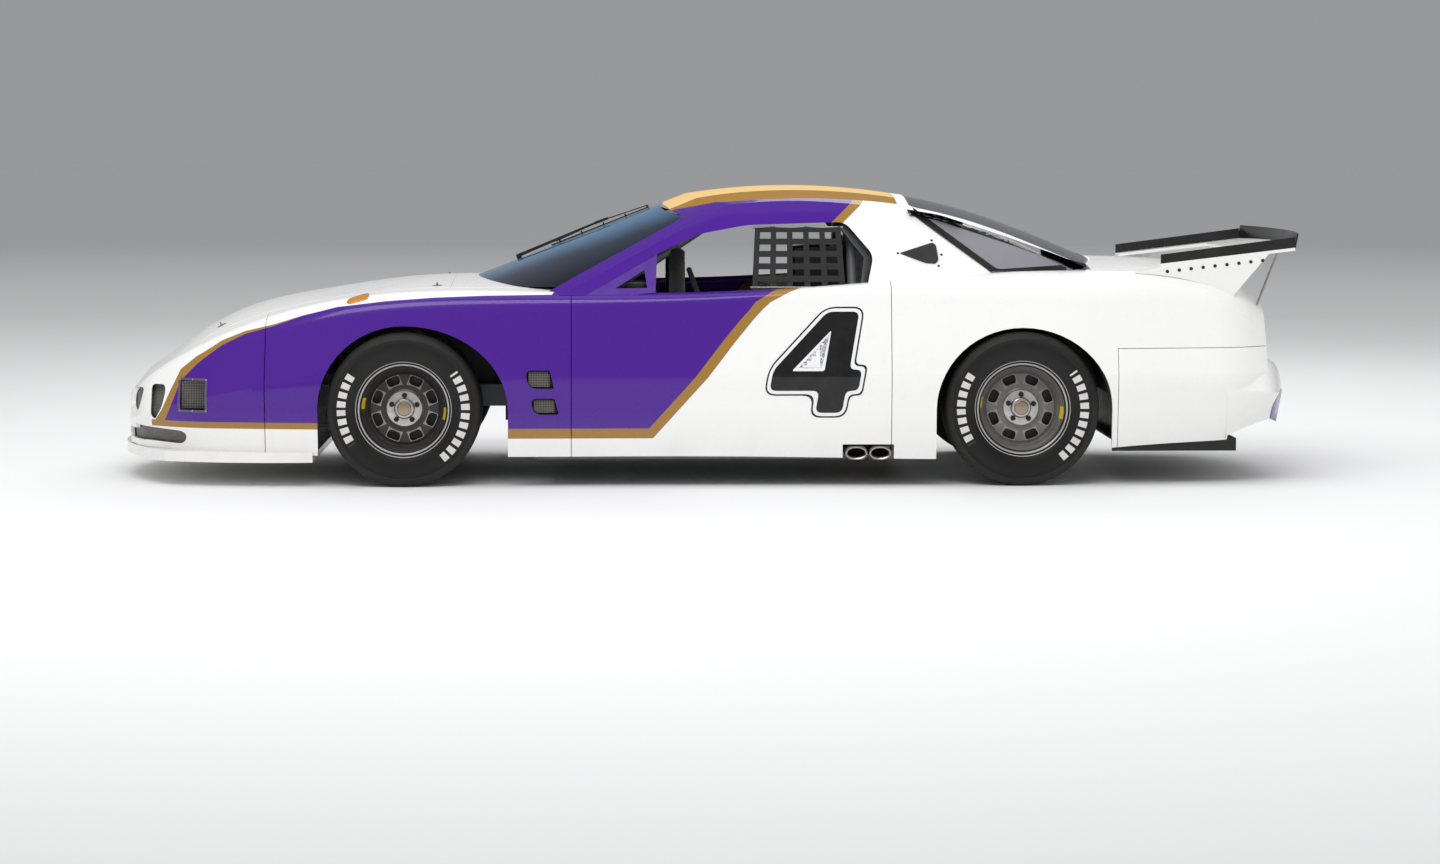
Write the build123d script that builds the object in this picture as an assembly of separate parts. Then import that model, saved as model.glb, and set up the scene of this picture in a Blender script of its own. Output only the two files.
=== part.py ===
from build123d import *

# Full-size stock car: tube-frame racing coupe with a wrap-round rear spoiler.
# Millimetres, +Z up, nose towards -X, left side towards -Y.
# The origin lies on the ground at the middle of the overall length.

import math
import os

# Driving sizes of the whole car
overall_length = 5490.0
overall_width = 1910.0
overall_height = 1347.0
wheelbase = 2794.0
front_overhang = 1350.0
tail_overhang = 1265.0
wheel_centre_y = 771.0
tyre_radius = 350.0

half_width = overall_width / 2
front_axle_x = -overall_length / 2 + front_overhang
rear_axle_x = front_axle_x + wheelbase
tail_x = rear_axle_x + tail_overhang

# Shell of the body
panel_wall = 22.0
lid_gap = 6.0
seam_gap = 0.6
hinge_gap = 0.8
seat_gap = 0.4
overrun = 60.0
mirror_sides = (-1, 1)

# Body sections from nose to tail. place_share runs -1 at the nose, 0 at the front axle,
# 1 at the rear axle and 2 at the tail; widths are shares of half_width, heights of overall_height.
# Columns: place, bottom width, bottom height, widest width, widest height,
#          shoulder width, shoulder height, shoulder run, centre height
section_shares = [
    (-0.960, 0.36, 0.118, 0.400, 0.20, 0.350, 0.290, 0.030, 0.312),
    (-0.920, 0.52, 0.118, 0.575, 0.22, 0.500, 0.325, 0.035, 0.360),
    (-0.850, 0.66, 0.118, 0.720, 0.25, 0.630, 0.378, 0.045, 0.412),
    (-0.745, 0.78, 0.113, 0.840, 0.28, 0.735, 0.440, 0.055, 0.488),
    (-0.570, 0.87, 0.108, 0.920, 0.32, 0.810, 0.522, 0.075, 0.578),
    (-0.300, 0.93, 0.105, 0.975, 0.35, 0.870, 0.607, 0.085, 0.637),
    (0.000, 0.965, 0.104, 1.000, 0.36, 0.915, 0.648, 0.085, 0.678),
    (0.180, 0.960, 0.102, 0.990, 0.37, 0.920, 0.652, 0.070, 0.684),
    (0.450, 0.950, 0.102, 0.985, 0.37, 0.925, 0.648, 0.045, 0.668),
    (0.750, 0.955, 0.095, 0.990, 0.37, 0.920, 0.678, 0.050, 0.705),
    (1.000, 0.965, 0.100, 1.000, 0.37, 0.885, 0.712, 0.115, 0.743),
    (1.350, 0.940, 0.130, 0.985, 0.37, 0.860, 0.712, 0.120, 0.748),
    (1.650, 0.880, 0.145, 0.945, 0.36, 0.815, 0.692, 0.120, 0.730),
    (1.820, 0.800, 0.155, 0.885, 0.36, 0.750, 0.640, 0.110, 0.678),
    (1.900, 0.700, 0.165, 0.800, 0.37, 0.660, 0.590, 0.100, 0.628),
]
# The bulge of the rear bumper, with the same columns
bumper_shares = [
    (1.740, 0.860, 0.150, 0.915, 0.31, 0.880, 0.440, 0.040, 0.446),
    (1.860, 0.770, 0.150, 0.870, 0.31, 0.800, 0.430, 0.060, 0.437),
    (1.945, 0.600, 0.163, 0.740, 0.30, 0.640, 0.400, 0.070, 0.410),
    (2.000, 0.320, 0.195, 0.450, 0.29, 0.360, 0.365, 0.050, 0.375),
]

# Panel seams
nose_seam_x = -2020.0
hood_front_x = -2330.0
hood_rear_x = -1190.0
hood_front_half_share = 0.60
hood_rear_half_share = 0.745
door_front_x = -640.0
door_rear_x = 805.0
bumper_seam_x = 1830.0
bumper_seam_z = 622.0
cowl_rear_x = -500.0

# Wheel openings
front_arch_radius = 388.0
front_arch_tail = 95.0
rear_arch_radius = 378.0
arch_depth = 420.0

# Cabin top: plan outlines at a low and a high level, joined by straight rulings
cabin_low_z = 800.0
cabin_high_z = 1400.0
# Columns: share of the wheelbase behind the front axle and share of half_width, at the low level
# and then at the high level
cabin_outline_shares = [
    (-0.006, 0.000, 0.545, 0.000),
    (0.209, 0.951, 0.618, 0.511),
    (0.760, 0.951, 0.760, 0.511),
    (1.190, 0.830, 1.190, 0.480),
]
# Columns: share of the wheelbase behind the front axle, share of overall_height at the centre line
roof_line_shares = [
    (-0.038, 0.530),
    (0.249, 0.849),
    (0.444, 0.965),
    (0.626, 1.000),
    (0.814, 0.970),
    (0.926, 0.920),
    (1.039, 0.838),
    (1.151, 0.742),
    (1.205, 0.690),
]
roof_crown_radius = 2530.0
glass_set_in = 3.0
cabin_half_y = 862.0
deck_front_x = 1735.0
glass_thickness = 6.0


def along(place_share):
    """Place along the car of a section share."""
    if place_share < 0:
        return front_axle_x + place_share * front_overhang
    if place_share <= 1:
        return front_axle_x + place_share * wheelbase
    return rear_axle_x + (place_share - 1) * tail_overhang


def mirrored(point):
    return Vector(point.X, -point.Y, point.Z)


def slab(x0, x1, y0, y1, z0, z1):
    """A box between two corners."""
    size = Box(x1 - x0, y1 - y0, z1 - z0)
    return Pos((x0 + x1) / 2, (y0 + y1) / 2, (z0 + z1) / 2) * size


def run_outline(points, inset, length, direction):
    """A closed outline, taken in by the inset, run along a direction."""
    face = make_face(Polyline(*points, close=True))
    if inset:
        face = offset(face, -inset, kind=Kind.INTERSECTION)
    return extrude(face, length, dir=direction)


def side_prism(points, y0, y1, inset=0.0):
    """An outline drawn in side view, x then z, run from y0 to y1."""
    return run_outline([(x, y0, z) for x, z in points], inset, y1 - y0, (0, 1, 0))


def front_prism(points, x0, x1, inset=0.0):
    """An outline drawn in front view, y then z, run from x0 to x1."""
    return run_outline([(x0, y, z) for y, z in points], inset, x1 - x0, (1, 0, 0))


def plan_prism(points, z0, z1, inset=0.0):
    """An outline drawn from above, x then y, run from z0 to z1."""
    return run_outline([(x, y, z0) for x, y in points], inset, z1 - z0, (0, 0, 1))


def rod(start, end, radius):
    """A round bar between two points."""
    a, b = Vector(*start), Vector(*end)
    return Solid.make_cylinder(radius, (b - a).length, Plane(origin=a, z_dir=b - a))


def body_section(row, x, inset, drop):
    """One closed cross-section of the body, inset all round and lowered at its foot."""
    _, foot_w, foot_z, wide_w, wide_z, corner_w, corner_z, run, top_z = row
    corner = Vector(x, corner_w * half_width - inset, corner_z * overall_height - inset)
    wide = Vector(x, wide_w * half_width - inset, wide_z * overall_height)
    top = Vector(x, 0, top_z * overall_height - inset)
    foot = Vector(x, foot_w * half_width - inset, foot_z * overall_height - drop)
    down = (wide - corner).normalized()
    inward = (top - corner).normalized()
    reach = run * half_width
    side_end = corner + down * reach
    top_end = corner + inward * reach
    half_turn = math.acos(down.dot(inward)) / 2
    radius = reach * math.tan(half_turn)
    middle = corner + (down + inward).normalized() * (radius / math.sin(half_turn) - radius)
    edges = [
        Edge.make_line(mirrored(foot), foot),
        Edge.make_line(foot, wide),
        Edge.make_line(wide, side_end),
        Edge.make_three_point_arc(side_end, middle, top_end),
        Edge.make_three_point_arc(top_end, top, mirrored(top_end)),
        Edge.make_three_point_arc(mirrored(top_end), mirrored(middle), mirrored(side_end)),
        Edge.make_line(mirrored(side_end), mirrored(wide)),
        Edge.make_line(mirrored(wide), mirrored(foot)),
    ]
    return Wire(edges)


def body_loft(rows, inset=0.0, drop=0.0):
    """The smooth body through its sections."""
    return Solid.make_loft([body_section(row, along(row[0]), inset, drop) for row in rows])


def body_hollow(rows, inset, front_wall):
    """The space inside the body, closed at its ends."""
    front_x, rear_x = along(rows[0][0]) + front_wall, along(rows[-1][0]) - inset
    room = slab(front_x, rear_x, -overall_width, overall_width, -overrun, 2 * overall_height)
    return body_loft(rows, inset, overrun) & room


def cabin_outline(level, inset):
    """Plan outline of the cabin at the low level, 0, or the high level, 1."""
    z = cabin_high_z if level else cabin_low_z
    points = []
    for row in cabin_outline_shares:
        x_share, y_share = row[2 * level], row[2 * level + 1]
        points.append((front_axle_x + x_share * wheelbase, y_share * half_width))
    (front_x, _), (pillar_x, pillar_y), (back_x, back_y), (end_x, end_y) = points
    front = Vector(front_x + inset, 0, z)
    pillar = Vector(pillar_x + inset, pillar_y - inset, z)
    back = Vector(back_x, back_y - inset, z)
    end = Vector(end_x, end_y - inset, z)
    edges = [
        Edge.make_three_point_arc(mirrored(pillar), front, pillar),
        Edge.make_line(pillar, back),
        Edge.make_line(back, end),
        Edge.make_line(end, mirrored(end)),
        Edge.make_line(mirrored(end), mirrored(back)),
        Edge.make_line(mirrored(back), mirrored(pillar)),
    ]
    return Wire(edges)


def roof_section(row, inset):
    x = front_axle_x + row[0] * wheelbase
    z = row[1] * overall_height - inset
    fall = half_width**2 / (2 * roof_crown_radius)
    edge = Vector(x, half_width, z - fall)
    foot = Vector(x, half_width, 0)
    edges = [
        Edge.make_three_point_arc(edge, Vector(x, 0, z), mirrored(edge)),
        Edge.make_line(mirrored(edge), mirrored(foot)),
        Edge.make_line(mirrored(foot), foot),
        Edge.make_line(foot, edge),
    ]
    return Wire(edges)


def cabin_sides(inset):
    """The leaning sides of the cabin, taken in by the inset."""
    return Solid.make_loft([cabin_outline(0, inset), cabin_outline(1, inset)], True)


def cabin_solid(inset=0.0):
    """The cabin top as a closed volume, taken in all round by the inset."""
    roof = Solid.make_loft([roof_section(row, inset) for row in roof_line_shares])
    room = Box(2 * overall_length, 2 * (cabin_half_y - inset), 3 * overall_height)
    return cabin_sides(inset) & roof & room


# Whole-body volumes that the panels are cut from
body_outer = body_loft(section_shares)
body_inner = body_hollow(section_shares, panel_wall, panel_wall)
bumper_outer = body_loft(bumper_shares)
bumper_inner = body_hollow(bumper_shares, panel_wall, 0.0)
body_skin = body_loft(section_shares, -seat_gap, seat_gap)
body_fit = body_loft(section_shares, panel_wall + seat_gap, overrun)
cabin_outer = cabin_solid()
cabin_inner = cabin_solid(panel_wall)
cabin_room = cabin_sides(panel_wall) & slab(
    -overall_length, deck_front_x, -half_width, half_width, 0, 2 * overall_height
)

# Side view outlines. Columns: share of the wheelbase behind the front axle, share of overall_height
side_window_shares = [
    (0.2906, 0.6236),
    (0.2906, 0.6392),
    (0.4098, 0.7765),
    (0.4782, 0.8419),
    (0.5569, 0.8716),
    (0.7172, 0.8820),
    (0.7623, 0.7706),
    (0.7505, 0.6748),
    (0.7498, 0.6236),
]
quarter_window_shares = [
    (0.8142, 0.9280),
    (0.9610, 0.7016),
    (1.1203, 0.7216),
    (1.0687, 0.7684),
    (0.9875, 0.8278),
    (0.8722, 0.9072),
]
roof_split_shares = [
    (0.7140, 0.5197),
    (0.7140, 0.8612),
    (0.7284, 0.8909),
    (0.8142, 0.9503),
    (0.8142, 1.1136),
    (1.2867, 1.1136),
    (1.2867, 0.5197),
]


def side_outline(shares):
    """Side view points of a table of shares."""
    return [(front_axle_x + x * wheelbase, z * overall_height) for x, z in shares]


side_window_points = side_outline(side_window_shares)
quarter_window_points = side_outline(quarter_window_shares)


def hood_prism(margin):
    front_half = hood_front_half_share * half_width + margin
    rear_half = hood_rear_half_share * half_width + margin
    rear_margin = math.copysign(hinge_gap / 2, margin)
    x0, x1 = hood_front_x - margin, hood_rear_x + rear_margin
    outline = [(x0, -front_half), (x1, -rear_half), (x1, rear_half), (x0, front_half)]
    return plan_prism(outline, tyre_radius, overall_height)


deck_lid_front_x = 1850.0
deck_lid_rear_x = 2370.0
deck_lid_half_y = 570.0


def deck_lid_prism(margin):
    return slab(
        deck_lid_front_x - math.copysign(hinge_gap / 2, margin),
        deck_lid_rear_x + margin,
        -deck_lid_half_y - margin,
        deck_lid_half_y + margin,
        bumper_seam_z,
        overall_height,
    )


def arch_cutter(axle_x, radius, tail):
    """A wheel opening through both sides, drawn out rearwards by the tail."""
    through = 2 * (half_width + overrun)
    hub = (axle_x, 0, tyre_radius)
    round_part = Pos(*hub) * Rot(90, 0, 0) * Cylinder(radius, through)
    below = slab(
        axle_x - radius, axle_x + radius, -half_width - overrun, half_width + overrun, 0, tyre_radius
    )
    cutter = round_part + below
    if tail:
        far = Pos(axle_x + tail, 0, tyre_radius) * Rot(90, 0, 0) * Cylinder(radius - tail / 4, through)
        under = slab(
            axle_x,
            axle_x + tail + radius - tail / 4,
            -half_width - overrun,
            half_width + overrun,
            0,
            tyre_radius,
        )
        cutter = cutter + far + under
    inner = slab(
        axle_x - 2 * radius, axle_x + 2 * radius, -arch_depth, arch_depth, 0, overall_height
    )
    return cutter - inner


def solid_part(shape):
    """The shape without splinters left over from its cuts."""
    solids = shape.solids()
    largest = max(s.volume for s in solids)
    kept = [s for s in solids if s.volume > largest / 20]
    return Compound(kept) if len(kept) > 1 else kept[0]


nodes = {}

# Body panels
body_shell = body_outer - body_inner
front_arch = arch_cutter(front_axle_x, front_arch_radius, front_arch_tail)
rear_arch = arch_cutter(rear_axle_x, rear_arch_radius, 0)
half_gap = lid_gap / 2
half_seam = seam_gap / 2
all_y = half_width + overrun
all_z = overall_height + overrun
far_x = overall_length


def zone(x0, x1, z0=0.0, z1=all_z):
    return slab(x0, x1, -all_y, all_y, z0, z1)


# Air openings in the nose and fenders
# Columns: share of half_width, share of overall_height
nostril_shares = [(0.3455, 0.3155), (0.6702, 0.3007), (0.6859, 0.2747), (0.6178, 0.2153), (0.3874, 0.2450)]
intake_shares = [(0.3455, 0.1411), (0.3455, 0.1782), (0.8063, 0.1782), (0.8063, 0.1411)]
intake_rear_x = -2400.0
side_duct_x = -2352.0
side_duct_z = 410.0
side_duct_long = 118.0
side_duct_tall = 132.0
vent_y = 800.0
upper_vent_x = -784.0
upper_vent_z = 487.0
upper_vent_long = 116.0
upper_vent_tall = 84.0
lower_vent_x = -760.0
lower_vent_z = 365.0
lower_vent_long = 112.0
lower_vent_tall = 72.0
# Columns: x and z of the middle, length, height
fender_vents = [
    (upper_vent_x, upper_vent_z, upper_vent_long, upper_vent_tall),
    (lower_vent_x, lower_vent_z, lower_vent_long, lower_vent_tall),
]
vent_corner = 24.0


def side_vent(x, z, length, height, side):
    face = Plane.XZ * Pos(x, z) * RectangleRounded(length, height, vent_corner)
    block = extrude(face, all_y - vent_y)
    block = Pos(0, -vent_y, 0) * block if side < 0 else Pos(0, all_y, 0) * block
    return block


def nose_openings():
    cutter = None
    for side in mirror_sides:
        for shares in (nostril_shares, intake_shares):
            outline = [(side * y * half_width, z * overall_height) for y, z in shares]
            hole = front_prism(outline, -overall_length / 2, intake_rear_x)
            cutter = hole if cutter is None else cutter + hole
        duct = side_vent(side_duct_x, side_duct_z, side_duct_long, side_duct_tall, side)
        cutter = cutter + Pos(0, -side * half_width / 4, 0) * duct
    return cutter


hood_hole = hood_prism(half_gap)
nose_cover = (body_shell & zone(-far_x, nose_seam_x - half_seam)) - hood_hole - nose_openings()
nodes["nose_cover"] = solid_part(nose_cover)
nodes["hood"] = solid_part(body_shell & hood_prism(-half_gap))

fenders = (body_shell & zone(nose_seam_x + half_seam, door_front_x - half_seam)) - hood_hole
fenders = fenders & (
    slab(-far_x, far_x, -all_y, -hood_rear_half_share * half_width - half_seam, 0, all_z)
    + slab(-far_x, far_x, hood_rear_half_share * half_width + half_seam, all_y, 0, all_z)
    + zone(-far_x, hood_rear_x)
)
vent_cutters = [side_vent(*vent, side) for vent in fender_vents for side in mirror_sides]
nodes["fenders"] = solid_part(fenders - [front_arch, *vent_cutters])

cowl = body_shell & slab(
    hood_rear_x + hinge_gap / 2,
    cowl_rear_x,
    -hood_rear_half_share * half_width + half_seam,
    hood_rear_half_share * half_width - half_seam,
    tyre_radius,
    all_z,
)
nodes["cowl_panel"] = solid_part(cowl - cabin_room)

# The exhaust leaves through a notch in the left sill
exhaust_x = 700.0
exhaust_z = 152.0
exhaust_pipe_long = 100.0
exhaust_pipe_tall = 62.0
exhaust_spacing = 108.0
exhaust_clearance = 8.0
exhaust_inner_y = -430.0
exhaust_outer_y = -915.0
exhaust_wall = 4.0
exhaust_bore_depth = 120.0
exhaust_round_share = 0.48


def exhaust_outline(margin):
    long, tall = exhaust_pipe_long + 2 * margin, exhaust_pipe_tall + 2 * margin
    return RectangleRounded(long, tall, tall * exhaust_round_share)


def exhaust_pipe(x, margin, y0, y1):
    face = Plane.XZ * Pos(x, exhaust_z) * exhaust_outline(margin)
    return Pos(0, y1, 0) * extrude(face, y1 - y0)


exhaust_places = [exhaust_x - exhaust_spacing / 2, exhaust_x + exhaust_spacing / 2]
exhaust_notch = slab(
    exhaust_x - exhaust_spacing - exhaust_clearance,
    exhaust_x + exhaust_spacing + exhaust_clearance,
    -all_y,
    exhaust_inner_y,
    0,
    exhaust_z + exhaust_pipe_tall / 2 + exhaust_clearance,
)
cowl_zone = slab(
    -far_x,
    cowl_rear_x + half_seam,
    -hood_rear_half_share * half_width - half_seam,
    hood_rear_half_share * half_width + half_seam,
    tyre_radius,
    all_z,
)
doors = (body_shell & zone(door_front_x + half_seam, door_rear_x - half_seam)) - cabin_room
doors = doors - [exhaust_notch, cowl_zone]
nodes["doors"] = solid_part(doors)

quarter_zone = zone(door_rear_x + half_seam, far_x) - zone(
    bumper_seam_x - half_seam, far_x, 0.0, bumper_seam_z + half_seam
)
quarters = (body_shell & quarter_zone) - deck_lid_prism(half_gap) - exhaust_notch - cabin_room
quarters = quarters - rear_arch
nodes["quarter_panels"] = solid_part(quarters)
nodes["deck_lid"] = solid_part(body_shell & deck_lid_prism(-half_gap))
tail_zone = zone(bumper_seam_x + half_seam, far_x, 0.0, bumper_seam_z - half_seam)
tail_cover = (body_outer & tail_zone) + (bumper_outer & tail_zone)
nodes["tail_cover"] = solid_part(tail_cover - body_inner - bumper_inner)

# Cabin top panels
cabin_shell = cabin_outer - cabin_inner - body_skin
side_window = side_prism(side_window_points, -all_y, all_y)
quarter_inner_y = 580.0
quarter_core = slab(-far_x, far_x, -quarter_inner_y, quarter_inner_y, 0, all_z)
quarter_window = side_prism(quarter_window_points, -all_y, all_y) - quarter_core
windshield_low_y = 838.0
windshield_low_z = 845.0
windshield_high_y = 548.0
windshield_high_z = 1212.0
windshield_top_z = 1268.0
windshield_back_x = 60.0
windshield_outline = [
    (-windshield_low_y, windshield_low_z),
    (windshield_low_y, windshield_low_z),
    (windshield_high_y, windshield_high_z),
    (0.0, windshield_top_z),
    (-windshield_high_y, windshield_high_z),
]
windshield_hole = front_prism(windshield_outline, -far_x / 2, windshield_back_x)
rear_glass_front_x = 915.0
rear_glass_rear_x = 1770.0
rear_glass_front_y = 480.0
rear_glass_rear_y = 560.0
rear_glass_outline = [
    (rear_glass_front_x, -rear_glass_front_y),
    (rear_glass_rear_x, -rear_glass_rear_y),
    (rear_glass_rear_x, rear_glass_rear_y),
    (rear_glass_front_x, rear_glass_front_y),
]
rear_hole = plan_prism(rear_glass_outline, cabin_low_z, all_z)
rear_region = side_prism(side_outline(roof_split_shares), -all_y, all_y)
cabin_frame = cabin_shell - side_window - windshield_hole
nodes["roof"] = solid_part(cabin_frame - rear_region)
nodes["rear_pillars"] = solid_part((cabin_frame & rear_region) - quarter_window - rear_hole)

glass_shell = cabin_solid(glass_set_in) - cabin_solid(glass_set_in + glass_thickness) - body_skin
windshield_room = front_prism(windshield_outline, -far_x / 2, windshield_back_x, seat_gap)
rear_room = plan_prism(rear_glass_outline, cabin_low_z, all_z, seat_gap)
quarter_room = side_prism(quarter_window_points, -all_y, all_y, seat_gap) - quarter_core
nodes["windshield"] = solid_part(glass_shell & windshield_room)
nodes["rear_window"] = solid_part(glass_shell & rear_room)
nodes["quarter_windows"] = solid_part(glass_shell & quarter_room)

# Gusset panels between the screen pillar and the door top
gusset_shares = [(0.2906, 0.6088), (0.2906, 0.6392), (0.4098, 0.7765), (0.4055, 0.6088)]
gusset_scoop_shares = [(0.3411, 0.6630), (0.3887, 0.7238), (0.3930, 0.6644)]
gusset_set_in = 2.0
gusset_thickness = 8.0
gusset_shell = cabin_solid(gusset_set_in) - cabin_solid(gusset_set_in + gusset_thickness) - body_skin
gussets = gusset_shell & side_prism(side_outline(gusset_shares), -all_y, all_y, seat_gap)
gussets = gussets - side_prism(side_outline(gusset_scoop_shares), -all_y, all_y)
nodes["door_gussets"] = solid_part(gussets)

# Window net in the left door opening
net_shares = [(0.5601, 0.6236), (0.5691, 0.8649), (0.7051, 0.8701), (0.7176, 0.6236)]
net_points = side_outline(net_shares)
net_hem_z = 905.0
net_set_in = 12.0
net_thickness = 5.0
net_columns = 5
net_rows = 5
net_strap = 26.0
net_shell = cabin_solid(net_set_in) - cabin_solid(net_set_in + net_thickness) - body_skin
net = (net_shell & side_prism(net_points, -all_y, 0)) & slab(-far_x, far_x, -all_y, 0, 0, all_z)
net_x0, net_x1 = net_points[0][0] + net_strap, net_points[3][0] - net_strap
net_z0, net_z1 = net_hem_z + net_strap, net_points[1][1] - net_strap
net_pitch_x = (net_x1 - net_x0 + net_strap) / net_columns
net_pitch_z = (net_z1 - net_z0 + net_strap) / net_rows
net_holes = []
for column in range(net_columns):
    for row in range(net_rows):
        x0 = net_x0 + column * net_pitch_x
        z0 = net_z0 + row * net_pitch_z
        net_holes.append(
            slab(x0, x0 + net_pitch_x - net_strap, -all_y, 0, z0, z0 + net_pitch_z - net_strap)
        )
nodes["window_net"] = solid_part(net - net_holes)

# Splitter under the nose
splitter_top_z = 158.6
splitter_low_z = 112.0
splitter_side_x = -2480.0
splitter_side_y = 800.0
splitter_mid_x = -2200.0
splitter_mid_y = 890.0
splitter_rear_x = -1805.0
splitter_rear_y = 905.0


def splitter_half_edges(side, z):
    front = Vector(-overall_length / 2, 0, z)
    corner = Vector(splitter_side_x, side * splitter_side_y, z)
    middle = Vector(splitter_mid_x, side * splitter_mid_y, z)
    rear = Vector(splitter_rear_x, side * splitter_rear_y, z)
    return corner, middle, rear, front


splitter_left = splitter_half_edges(-1, splitter_low_z)
splitter_right = splitter_half_edges(1, splitter_low_z)
splitter_wire = Wire(
    [
        Edge.make_three_point_arc(splitter_left[0], splitter_left[3], splitter_right[0]),
        Edge.make_three_point_arc(splitter_right[0], splitter_right[1], splitter_right[2]),
        Edge.make_line(splitter_right[2], splitter_left[2]),
        Edge.make_three_point_arc(splitter_left[2], splitter_left[1], splitter_left[0]),
    ]
)
splitter = extrude(Face(splitter_wire), splitter_top_z - splitter_low_z, dir=(0, 0, 1))
nodes["splitter"] = solid_part(splitter - body_skin)

# Chassis: side rails, front and rear clips
rail_width = 70.0
rail_height = 100.0
rail_low_z = 118.0
side_rail_y = 780.0
side_rail_front_x = -800.0
side_rail_rear_x = 930.0
front_clip_y = 375.0
front_clip_low_z = 330.0
front_clip_front_x = -2380.0
rear_clip_y = 490.0
rear_clip_low_z = 500.0
rear_clip_rear_x = 2330.0
cross_middle_x = 60.0
cross_x_places = [side_rail_front_x, cross_middle_x, side_rail_rear_x - rail_width]
front_bumper_bar_y = 470.0
engine_cross_low_z = 255.0
engine_leg_low_z = 205.0
arm_tower_top_z = 490.0
arm_root_half = 120.0
engine_cross_x = -1430.0
engine_cross_long = 90.0


def build_frame():
    low, high = rail_low_z, rail_low_z + rail_height
    frame = slab(
        front_clip_front_x, front_clip_front_x + rail_width, -front_bumper_bar_y, front_bumper_bar_y,
        front_clip_low_z, front_clip_low_z + rail_height
    )
    for side in mirror_sides:
        y_mid = side * side_rail_y
        frame += slab(
            side_rail_front_x, side_rail_rear_x, y_mid - rail_width / 2, y_mid + rail_width / 2, low, high
        )
        y_clip = side * front_clip_y
        frame += slab(
            front_clip_front_x, side_rail_front_x + rail_width, y_clip - rail_width / 2,
            y_clip + rail_width / 2, front_clip_low_z, front_clip_low_z + rail_height
        )
        frame += slab(
            side_rail_front_x, side_rail_front_x + rail_width, y_clip - rail_width / 2,
            y_clip + rail_width / 2, low, front_clip_low_z + rail_height
        )
        y_clip = side * rear_clip_y
        frame += slab(
            side_rail_rear_x - rail_width, rear_clip_rear_x, y_clip - rail_width / 2,
            y_clip + rail_width / 2, rear_clip_low_z, rear_clip_low_z + rail_height
        )
        frame += slab(
            side_rail_rear_x - rail_width, side_rail_rear_x, y_clip - rail_width / 2,
            y_clip + rail_width / 2, low, rear_clip_low_z + rail_height
        )
    for x in cross_x_places:
        frame += slab(x, x + rail_width, -side_rail_y, side_rail_y, low, high)
    frame += slab(
        rear_clip_rear_x - rail_width, rear_clip_rear_x, -rear_clip_y, rear_clip_y,
        rear_clip_low_z, rear_clip_low_z + rail_height
    )
    frame += slab(
        engine_cross_x, engine_cross_x + engine_cross_long, -front_clip_y, front_clip_y,
        engine_cross_low_z, engine_cross_low_z + rail_width
    )
    for side in mirror_sides:
        y_clip = side * front_clip_y
        frame += slab(
            engine_cross_x, engine_cross_x + engine_cross_long, y_clip - rail_width / 2,
            y_clip + rail_width / 2, engine_leg_low_z, front_clip_low_z
        )
        frame += slab(
            front_axle_x - arm_root_half, front_axle_x + arm_root_half, y_clip - rail_width / 2,
            y_clip + rail_width / 2, front_clip_low_z, arm_tower_top_z
        )
    for x in exhaust_places:
        frame = frame - exhaust_pipe(x, exhaust_clearance, -all_y, exhaust_inner_y)
    return frame


nodes["chassis_frame"] = solid_part(build_frame())

# Floor, firewall and rear bulkhead as one sheet-metal tub
sheet = 8.0
floor_z = rail_low_z + rail_height
floor_half_y = 745.0
firewall_x = -700.0
bulkhead_x = 900.0
firewall_top_z = 1000.0
bulkhead_top_z = 830.0
tunnel_half_y = 150.0
tunnel_top_z = 430.0
firewall_half_y = 1000.0


def build_floor():
    ends = slab(
        firewall_x, firewall_x + sheet, -firewall_half_y, firewall_half_y, floor_z, firewall_top_z
    )
    ends += slab(
        bulkhead_x - sheet, bulkhead_x, -firewall_half_y, firewall_half_y, floor_z, bulkhead_top_z
    )
    ends = ends & body_fit
    floor = slab(firewall_x, bulkhead_x, -floor_half_y, floor_half_y, floor_z, floor_z + sheet)
    floor += ends
    floor += slab(
        firewall_x, bulkhead_x, -tunnel_half_y, tunnel_half_y, floor_z, tunnel_top_z
    )
    inner = tunnel_half_y - sheet
    floor = floor - slab(
        firewall_x - overrun, bulkhead_x + overrun, -inner, inner, 0, tunnel_top_z - sheet
    )
    return floor - nodes["chassis_frame"]


nodes["floor_pan"] = solid_part(build_floor())

# Exhaust pipes, flattened to pass under the side rail
pipes = []
for x in exhaust_places:
    pipe = exhaust_pipe(x, 0, exhaust_outer_y, exhaust_inner_y)
    bore = exhaust_pipe(x, -exhaust_wall, exhaust_outer_y - overrun, exhaust_outer_y + exhaust_bore_depth)
    pipes.append(pipe - bore)
muffler_long = 320.0
muffler_y1 = -170.0
muffler = slab(
    exhaust_x - muffler_long / 2, exhaust_x + muffler_long / 2, exhaust_inner_y, muffler_y1,
    exhaust_z - exhaust_pipe_tall / 2, exhaust_z + exhaust_pipe_tall / 2
)
nodes["exhaust"] = solid_part(pipes[0] + pipes[1] + muffler)

# Roll cage
tube_radius = 22.0
joint_share = 1.12
quarter_turn = 90.0
cage_foot_z = floor_z
hoop_x = 640.0
hoop_low_y = 690.0
hoop_mid_z = 900.0
hoop_top_y = 470.0
hoop_top_z = 1215.0
front_leg_x = -540.0
front_leg_y = 700.0
front_leg_mid_z = 830.0
front_top_x = 20.0
front_top_y = 470.0
front_top_z = 1195.0
stay_end_x = 2050.0
stay_end_z = rear_clip_low_z + rail_height
stay_room_x = hoop_x + 4 * tube_radius
door_bar_low_z = 330.0
door_bar_pitch = 140.0
door_bar_count = 3
dash_bar_z = 800.0


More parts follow.
